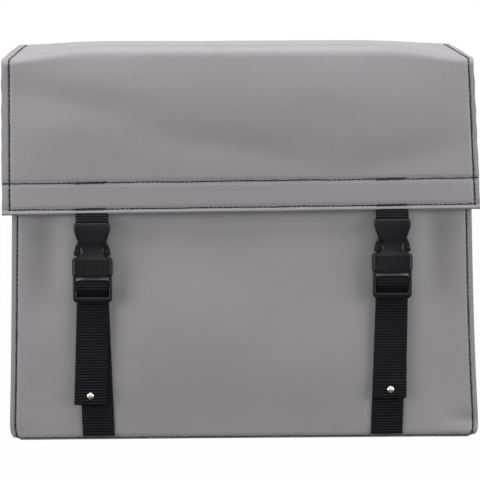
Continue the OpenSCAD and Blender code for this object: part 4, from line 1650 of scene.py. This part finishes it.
def build_bag_stitches(bag, straps, tree):
    """Side seams, base seam, mouth hem and hinge strip of the body."""
    lift = STITCH_LIFT * straps.thread
    seams, base = [], []
    z = np.linspace(SEAM_START, MOUTH - SEAM_END, UP_STEPS)
    along = np.linspace(-SEAM, SEAM, ACROSS_STEPS)
    for y, facing in ((FRONT, -1), (BACK, 1)):
        rib_sheen_and_tone = y + facing * lift
        for side in SIDES.values():
            seams.append(panel_face(bag, rib_sheen_and_tone, facing, np.full(UP_STEPS, side * SEAM), z))
        if facing < 0:
            for drop in MOUTH_ROWS:
                seams.append(panel_face(bag, rib_sheen_and_tone, facing, along, np.full(ACROSS_STEPS, MOUTH - drop)))
        foot_y = y + BASE_ROW_LIFT * facing * lift
        base.append(panel_face(bag, foot_y, facing, along, np.full(ACROSS_STEPS, BASE_ROW)))
    strip_y = high("lid_hinge_strip").y - STRIP_VALLEY * bag.seam_valley
    for height in hinge_strip_rows():
        seams.append(sag(bag, points_of(along, strip_y, np.full(ACROSS_STEPS, height))))
    row = stitch_rows("bag_stitching", seams, straps, tree, straps.stitch_pitch, seed=2)
    place(row, "bag", "webbing")
    foot = stitch_rows("base_seam_stitching", base, straps, tree, BASE_PITCH * straps.stitch_pitch, seed=7)
    place(foot, "bag", "webbing")


# Finishes
FLOAT = "NodeSocketFloat"
VECTOR = "NodeSocketVector"


def group_tree(name, inputs, outputs):
    """An empty shader node group with named sockets."""
    tree = bpy.data.node_groups.new(name, "ShaderNodeTree")
    for label, kind in inputs:
        tree.interface.new_socket(label, in_out="INPUT", socket_type=kind)
    for label, kind in outputs:
        tree.interface.new_socket(label, in_out="OUTPUT", socket_type=kind)
    return tree, tree.nodes.new("NodeGroupInput"), tree.nodes.new("NodeGroupOutput")


def feed(tree, socket, value):
    """Links a socket to another one, or sets it to a plain value."""
    if isinstance(value, bpy.types.NodeSocket):
        tree.links.new(value, socket)
    elif value is not None:
        socket.default_value = value


def math_node(tree, operation, first, second=None, third=None):
    """A math node fed by sockets or by numbers."""
    node = tree.nodes.new("ShaderNodeMath")
    node.operation = operation
    for socket, value in zip(node.inputs, (first, second, third)):
        feed(tree, socket, value)
    return node.outputs["Value"]


def wave_of(tree, value, period):
    """A sine of a distance, from 0 to 1."""
    turns = math_node(tree, "DIVIDE", value, period)
    wave = math_node(tree, "SINE", math_node(tree, "MULTIPLY", turns, 2 * math.pi))
    return math_node(tree, "MULTIPLY_ADD", wave, 0.5, 0.5)


def mixed(tree, factor, first, second):
    """A colour mix whose factor is a socket."""
    node = tree.nodes.new("ShaderNodeMix")
    node.data_type = "RGBA"
    tree.links.new(factor, node.inputs["Factor"])
    feed(tree, node.inputs["A"], first)
    feed(tree, node.inputs["B"], second)
    return node.outputs["Result"]


def paint(tree, shader, factor, first, second):
    """Gives a shader a mix of two colours."""
    tree.links.new(mixed(tree, factor, first, second), shader.inputs["Base Color"])


def grey(colour, share):
    """A colour made lighter or darker."""
    return (*[min(1, channel * share) for channel in colour], 1)


def mottle_group():
    """Slow changes of tone over a surface, and fine grain."""
    name = "Mottle"
    if name in bpy.data.node_groups:
        return bpy.data.node_groups[name]
    tree, given, result = group_tree(
        name, [("Place", VECTOR), ("Patch Scale", FLOAT), ("Grain Scale", FLOAT)],
        [("Patch", FLOAT), ("Grain", FLOAT)])
    for label, source, detail in (("Patch", "Patch Scale", 3), ("Grain", "Grain Scale", 5)):
        node = tree.nodes.new("ShaderNodeTexNoise")
        node.inputs["Detail"].default_value = detail
        tree.links.new(given.outputs["Place"], node.inputs["Vector"])
        tree.links.new(given.outputs[source], node.inputs["Scale"])
        tree.links.new(node.outputs["Fac"], result.inputs[label])
    return tree


def cloth_directions(tree, given):
    """The two directions along a cloth, from a weave's UV map."""
    split = tree.nodes.new("ShaderNodeSeparateXYZ")
    tree.links.new(given.outputs["Cloth"], split.inputs["Vector"])
    return split.outputs["X"], split.outputs["Y"]


# How much each set of ribs and threads raises the twill
RIB_SHARE = 0.46
CROSS_SHARE = 0.3
THREAD_SHARE = 0.12
YARN_SHARE = 0.5


def twill_group():
    """Twill weave on a UV map in metres: diagonal ribs crossed by fainter ones and broken up by threads."""
    name = "Twill Weave"
    if name in bpy.data.node_groups:
        return bpy.data.node_groups[name]
    tree, given, result = group_tree(name, [("Cloth", VECTOR), ("Spacing", FLOAT)], [("Height", FLOAT)])
    u, v = cloth_directions(tree, given)
    spacing = given.outputs["Spacing"]
    rib = wave_of(tree, math_node(tree, "ADD", u, v), spacing)
    cross = wave_of(tree, math_node(tree, "SUBTRACT", u, v), spacing)
    main_rib = math_node(tree, "MULTIPLY", rib, RIB_SHARE)
    ribs = math_node(tree, "ADD", main_rib, math_node(tree, "MULTIPLY", cross, CROSS_SHARE))
    yarn = math_node(tree, "MULTIPLY", spacing, YARN_SHARE)
    warp = wave_of(tree, u, yarn)
    weft = wave_of(tree, v, yarn)
    threads = math_node(tree, "MULTIPLY", math_node(tree, "ADD", warp, weft), THREAD_SHARE)
    tree.links.new(math_node(tree, "ADD", ribs, threads), result.inputs["Height"])
    return tree


# Ticks of the webbing in parts of its ribs
TICK_SLANT = 0.6
TICK_PITCH = 0.8
TICK_HEIGHT = 1.05
TICK_FLOOR = 0.15


def webbing_group():
    """Ribs across a strap, each broken into slanted ticks, on a UV map in metres."""
    name = "Webbing Weave"
    if name in bpy.data.node_groups:
        return bpy.data.node_groups[name]
    tree, given, result = group_tree(name, [("Cloth", VECTOR), ("Pitch", FLOAT)], [("Height", FLOAT)])
    u, v = cloth_directions(tree, given)
    pitch = given.outputs["Pitch"]
    rib = wave_of(tree, v, pitch)
    slanted = math_node(tree, "ADD", u, math_node(tree, "MULTIPLY", v, TICK_SLANT))
    tick = wave_of(tree, slanted, math_node(tree, "MULTIPLY", pitch, TICK_PITCH))
    ticks = math_node(tree, "MULTIPLY_ADD", tick, TICK_HEIGHT, TICK_FLOOR)
    tree.links.new(math_node(tree, "MULTIPLY", rib, ticks), result.inputs["Height"])
    return tree


def placed_group(tree, group, **values):
    """A node group in a material, with its inputs linked or set."""
    node = tree.nodes.new("ShaderNodeGroup")
    node.node_tree = group
    for label, value in values.items():
        feed(tree, node.inputs[label.replace("_", " ")], value)
    return node


def start_material(name, roughness, specular=0.5):
    """A new material with its nodes and its shader, or only the old one where it is made already."""
    material = bpy.data.materials.get(name)
    if material:
        return material, None, None
    material = bpy.data.materials.new(name)
    material.use_nodes = True
    shader = material.node_tree.nodes["Principled BSDF"]
    shader.inputs["Roughness"].default_value = roughness
    shader.inputs["Specular IOR Level"].default_value = specular
    return material, material.node_tree, shader


def coordinates(tree):
    """Object coordinates and the UV map of a material."""
    node = tree.nodes.new("ShaderNodeTexCoord")
    return node.outputs["Object"], node.outputs["UV"]


def bump(tree, shader, height, distance, strength, under=None):
    """A bump that feeds the shader's normal."""
    node = tree.nodes.new("ShaderNodeBump")
    node.inputs["Distance"].default_value = distance
    node.inputs["Strength"].default_value = strength
    tree.links.new(height, node.inputs["Height"])
    if under:
        tree.links.new(under, node.inputs["Normal"])
    tree.links.new(node.outputs["Normal"], shader.inputs["Normal"])
    return node.outputs["Normal"]


def fabric_finish():
    """Grey coated glass fabric: satin, with a fine diagonal twill."""
    material, tree, shader = start_material("Coated Fabric", roughness=0.46, specular=0.35)
    if tree is None:
        return material
    colours = bpy.context.scene.bag_finishes
    place_at, uv = coordinates(tree)
    weave = placed_group(tree, twill_group(), Cloth=uv, Spacing=colours.weave).outputs["Height"]
    mottle = placed_group(tree, mottle_group(), Place=place_at, Patch_Scale=9.0, Grain_Scale=900.0)
    base = mixed(tree, mottle.outputs["Patch"], grey(colours.fabric, 0.88), grey(colours.fabric, 1.12))
    # The twill's grooves are painted darker than its ribs: painted shade in the weave.
    paint(tree, shader, weave, grey(colours.fabric, 0.62), base)
    tree.links.new(math_node(tree, "MULTIPLY_ADD", weave, -0.12, 0.54), shader.inputs["Roughness"])
    bump(tree, shader, weave, distance=0.00022, strength=0.55)
    return material


def felt_finish():
    """Pale fibrous felt."""
    material, tree, shader = start_material("Felt Lining", roughness=0.95, specular=0.15)
    if tree is None:
        return material
    colours = bpy.context.scene.bag_finishes
    place_at, _ = coordinates(tree)
    mottle = placed_group(tree, mottle_group(), Place=place_at, Patch_Scale=25.0, Grain_Scale=1400.0)
    base = mixed(tree, mottle.outputs["Patch"], grey(colours.felt, 0.86), grey(colours.felt, 1.1))
    paint(tree, shader, mottle.outputs["Grain"], base, grey(colours.felt, 0.7))
    shader.inputs["Sheen Weight"].default_value = 0.25
    bump(tree, shader, mottle.outputs["Grain"], distance=0.0006, strength=0.8)
    return material


def webbing_finish():
    """Black ribbed polyester webbing."""
    material, tree, shader = start_material("Black Webbing", roughness=0.62, specular=0.06)
    if tree is None:
        return material
    colours = bpy.context.scene.bag_finishes
    place_at, uv = coordinates(tree)
    pitch = bpy.context.scene.bag_straps.rib_pitch
    weave = placed_group(tree, webbing_group(), Cloth=uv, Pitch=pitch).outputs["Height"]
    mottle = placed_group(tree, mottle_group(), Place=place_at, Patch_Scale=60.0, Grain_Scale=2500.0)
    # The ribs are painted far lighter than the black yarn and the grooves near black: painted sheen on the
    # ribs and painted shade between them. The patches vary the tone at random.
    rib_sheen_and_tone = mixed(tree, mottle.outputs["Patch"], grey(colours.webbing, 3.2), grey(colours.webbing, 5.2))
    paint(tree, shader, weave, grey(colours.webbing, 0.15), rib_sheen_and_tone)
    ribs = bump(tree, shader, weave, distance=0.0003, strength=0.8)
    bump(tree, shader, mottle.outputs["Grain"], distance=0.0001, strength=0.4, under=ribs)
    return material


def plastic_finish():
    """Satin black moulded plastic with a fine grain and slow changes of tone."""
    material, tree, shader = start_material("Black Plastic", roughness=0.36, specular=0.2)
    if tree is None:
        return material
    colours = bpy.context.scene.bag_finishes
    place_at, _ = coordinates(tree)
    mottle = placed_group(tree, mottle_group(), Place=place_at, Patch_Scale=70.0, Grain_Scale=1800.0)
    paint(tree, shader, mottle.outputs["Patch"], grey(colours.plastic, 0.8), grey(colours.plastic, 1.25))
    rough = math_node(tree, "MULTIPLY_ADD", mottle.outputs["Grain"], 0.16, 0.2)
    tree.links.new(rough, shader.inputs["Roughness"])
    bump(tree, shader, mottle.outputs["Grain"], distance=0.00008, strength=0.35)
    return material


def rivet_finish():
    """Nickel-plated rivet, a little dented."""
    material, tree, shader = start_material("Nickel Rivet", roughness=0.3)
    if tree is None:
        return material
    colours = bpy.context.scene.bag_finishes
    place_at, _ = coordinates(tree)
    shader.inputs["Metallic"].default_value = 1
    mottle = placed_group(tree, mottle_group(), Place=place_at, Patch_Scale=420.0, Grain_Scale=2600.0)
    paint(tree, shader, mottle.outputs["Patch"], grey(colours.rivet, 0.78), grey(colours.rivet, 1.12))
    bump(tree, shader, mottle.outputs["Patch"], distance=0.0004, strength=0.5)
    return material


def thread_finish():
    """Dark blue sewing thread."""
    material, tree, shader = start_material("Sewing Thread", roughness=0.6, specular=0.1)
    if tree is None:
        return material
    colours = bpy.context.scene.bag_finishes
    place_at, _ = coordinates(tree)
    mottle = placed_group(tree, mottle_group(), Place=place_at, Patch_Scale=180.0, Grain_Scale=4000.0)
    paint(tree, shader, mottle.outputs["Patch"], grey(colours.thread, 0.6), grey(colours.thread, 1.9))
    bump(tree, shader, mottle.outputs["Grain"], distance=0.0001, strength=0.5)
    return material


# Stage
def seen_by(tree, *rays):
    """1 where a ray is one of the named kinds."""
    path = tree.nodes.new("ShaderNodeLightPath")
    seen = path.outputs[rays[0]]
    for ray in rays[1:]:
        seen = math_node(tree, "MAXIMUM", seen, path.outputs[ray])
    return seen


WHITE = (1, 1, 1, 1)
FLOOR_GREY = (0.14, 0.14, 0.14, 1)
FLOOR_HALF = 12
FLOOR_DROP = 0.0004
FLOOR_GLOW = 0.985
WORLD_LIGHT = 0.2


def mix_shaders(tree, factor, first, second, output):
    """Mixes two shaders and gives the result to an output."""
    blend = tree.nodes.new("ShaderNodeMixShader")
    tree.links.new(factor, blend.inputs["Fac"])
    tree.links.new(first, blend.inputs[1])
    tree.links.new(second, blend.inputs[2])
    tree.links.new(blend.outputs["Shader"], tree.nodes[output].inputs["Surface"])


def floor_finish():
    """Pale floor that a camera sees almost white."""
    material, tree, shader = start_material("Pale Floor", roughness=0.9, specular=0.1)
    if tree is None:
        return material
    shader.inputs["Base Color"].default_value = FLOOR_GREY
    glow = tree.nodes.new("ShaderNodeEmission")
    seen = math_node(tree, "MULTIPLY", seen_by(tree, "Is Camera Ray", "Is Transmission Ray"), FLOOR_GLOW)
    mix_shaders(tree, seen, shader.outputs["BSDF"], glow.outputs["Emission"], "Material Output")
    return material


def build_floor():
    """Pale floor that keeps the bag's shadow."""
    work = bmesh.new()
    bmesh.ops.create_grid(work, x_segments=8, y_segments=8, size=FLOOR_HALF)
    mesh = bpy.data.meshes.new("floor")
    work.to_mesh(mesh)
    work.free()
    floor = add_object("floor", mesh)
    mesh.transform(Matrix.Translation((0, 0, -FLOOR_DROP)))
    mesh.materials.append(floor_finish())


def build_world():
    """White surroundings with a plain level of light."""
    world = bpy.data.worlds.new("Studio")
    world.use_nodes = True
    tree = world.node_tree
    light = tree.nodes["Background"]
    light.inputs["Color"].default_value = WHITE
    light.inputs["Strength"].default_value = WORLD_LIGHT
    white = tree.nodes.new("ShaderNodeBackground")
    white.inputs["Color"].default_value = WHITE
    seen = seen_by(tree, "Is Camera Ray", "Is Glossy Ray", "Is Transmission Ray")
    mix_shaders(tree, seen, light.outputs["Background"], white.outputs["Background"], "World Output")
    bpy.context.scene.world = world


def area_light(name, place_at, aim, size, power):
    """A square soft light."""
    lamp = bpy.data.lights.new(name, "AREA")
    lamp.size = size
    lamp.energy = power
    obj = bpy.data.objects.new(name, lamp)
    obj.location = place_at
    obj.rotation_euler = (Vector(aim) - Vector(place_at)).to_track_quat("-Z", "Y").to_euler()
    bpy.context.scene.collection.objects.link(obj)


def build_camera(stage):
    """Camera at the photograph's viewing angle."""
    lens = bpy.data.cameras.new("Camera")
    camera = bpy.data.objects.new("Camera", lens)
    place_at = Vector((stage.stand, FRONT - stage.distance, stage.height))
    aim = Vector((stage.sideways, FRONT, stage.aim))
    look = aim - place_at
    turn = look.to_track_quat("-Z", "Y").to_matrix().to_4x4() @ Matrix.Rotation(-stage.roll, 4, "Z")
    camera.matrix_world = Matrix.Translation(place_at) @ turn
    lens.sensor_width = 36
    lens.lens = lens.sensor_width * look.length / stage.frame
    bpy.context.scene.collection.objects.link(camera)
    bpy.context.scene.camera = camera


def build_stage(stage):
    """Floor, surroundings, lights and camera."""
    build_floor()
    build_world()
    middle = (0, 0, MOUTH / 2)
    area_light("front_softbox", (0, -2.4, 0.4), middle, size=1.1, power=6)
    area_light("left_softbox", (-1.28, -0.64, 0.36), middle, size=0.75, power=15.2)
    area_light("right_softbox", (1.28, -0.64, 0.36), middle, size=0.75, power=14)
    area_light("top_softbox", (0, -0.15, 1.75), (0, 0, MOUTH), size=1.2, power=33)
    area_light("rear_left_softbox", (-1.5, 1.5, 0.7), middle, size=0.8, power=16)
    area_light("rear_right_softbox", (1.5, 1.5, 0.7), middle, size=0.8, power=16)
    build_camera(stage)
    bpy.context.scene.view_settings.view_transform = "Standard"


# Operators
class BAG_OT_body(bpy.types.Operator):
    """Make the front, back, side and base panels"""
    bl_idname = "bag.body"
    bl_label = "Body Panels"

    def execute(self, context):
        build_body(context.scene.bag_sizes)
        return {"FINISHED"}


class BAG_OT_lining(bpy.types.Operator):
    """Make the felt lining of the body"""
    bl_idname = "bag.lining"
    bl_label = "Body Lining"

    def execute(self, context):
        build_lining(context.scene.bag_sizes)
        return {"FINISHED"}


class BAG_OT_mouth(bpy.types.Operator):
    """Make the hem round the mouth and the hinge strip"""
    bl_idname = "bag.mouth"
    bl_label = "Mouth Hem and Hinge Strip"

    def execute(self, context):
        build_mouth(context.scene.bag_sizes)
        return {"FINISHED"}


class BAG_OT_lid(bpy.types.Operator):
    """Make the lid's cloth and its two sides"""
    bl_idname = "bag.lid"
    bl_label = "Lid Cloth"

    def execute(self, context):
        build_lid(context.scene.bag_lid)
        return {"FINISHED"}


class BAG_OT_lid_lining(bpy.types.Operator):
    """Make the felt and the hem inside the lid"""
    bl_idname = "bag.lid_lining"
    bl_label = "Lid Lining"

    def execute(self, context):
        build_lid_lining(context.scene.bag_lid)
        return {"FINISHED"}


class BAG_OT_straps(bpy.types.Operator):
    """Make the webbing of both straps"""
    bl_idname = "bag.straps"
    bl_label = "Straps"

    def execute(self, context):
        build_straps(context.scene.bag_straps)
        return {"FINISHED"}


class BAG_OT_buckles(bpy.types.Operator):
    """Make the sockets, plugs and latch arms of both buckles"""
    bl_idname = "bag.buckles"
    bl_label = "Buckles"

    def execute(self, context):
        build_sockets()
        build_plugs()
        build_latches()
        return {"FINISHED"}


class BAG_OT_rivets(bpy.types.Operator):
    """Make the rivets and their caps"""
    bl_idname = "bag.rivets"
    bl_label = "Rivets"

    def execute(self, context):
        build_rivets()
        return {"FINISHED"}


class BAG_OT_stitching(bpy.types.Operator):
    """Sew the rows of stitches"""
    bl_idname = "bag.stitching"
    bl_label = "Stitching"

    def execute(self, context):
        scene = context.scene
        tree = stitch_tree()
        build_bag_stitches(scene.bag_sizes, scene.bag_straps, tree)
        build_lid_stitches(scene.bag_lid, scene.bag_straps, tree)
        return {"FINISHED"}


class BAG_OT_stage(bpy.types.Operator):
    """Set up the floor, the lights and the camera"""
    bl_idname = "bag.stage"
    bl_label = "Stage"

    def execute(self, context):
        build_stage(context.scene.bag_stage)
        return {"FINISHED"}


GROUPS = {
    "bag_sizes": BagSizes,
    "bag_lid": LidSizes,
    "bag_straps": StrapSizes,
    "bag_finishes": Finishes,
    "bag_stage": StageSizes,
}
OPERATORS = (BAG_OT_stage, BAG_OT_body, BAG_OT_lining, BAG_OT_mouth, BAG_OT_lid, BAG_OT_lid_lining,
             BAG_OT_straps, BAG_OT_buckles, BAG_OT_rivets, BAG_OT_stitching)


class BAG_PT_panel(bpy.types.Panel):
    """Lists the steps that build the bag"""
    bl_label = "Battery Safe Bag"
    bl_idname = "BAG_PT_panel"
    bl_space_type = "VIEW_3D"
    bl_region_type = "UI"
    bl_category = "Bag"

    def draw(self, context):
        for operator in OPERATORS:
            self.layout.operator(operator.bl_idname)


def register():
    for name, group in GROUPS.items():
        bpy.utils.register_class(group)
        setattr(bpy.types.Scene, name, bpy.props.PointerProperty(type=group))
    for operator in OPERATORS:
        bpy.utils.register_class(operator)
    bpy.utils.register_class(BAG_PT_panel)


def unregister():
    bpy.utils.unregister_class(BAG_PT_panel)
    for operator in reversed(OPERATORS):
        bpy.utils.unregister_class(operator)
    for name, group in reversed(GROUPS.items()):
        delattr(bpy.types.Scene, name)
        bpy.utils.unregister_class(group)


def main():
    """Builds the bag step by step."""
    register()
    for operator in OPERATORS:
        group, step = operator.bl_idname.split(".")
        getattr(getattr(bpy.ops, group), step)()


if __name__ == "__main__":
    main()
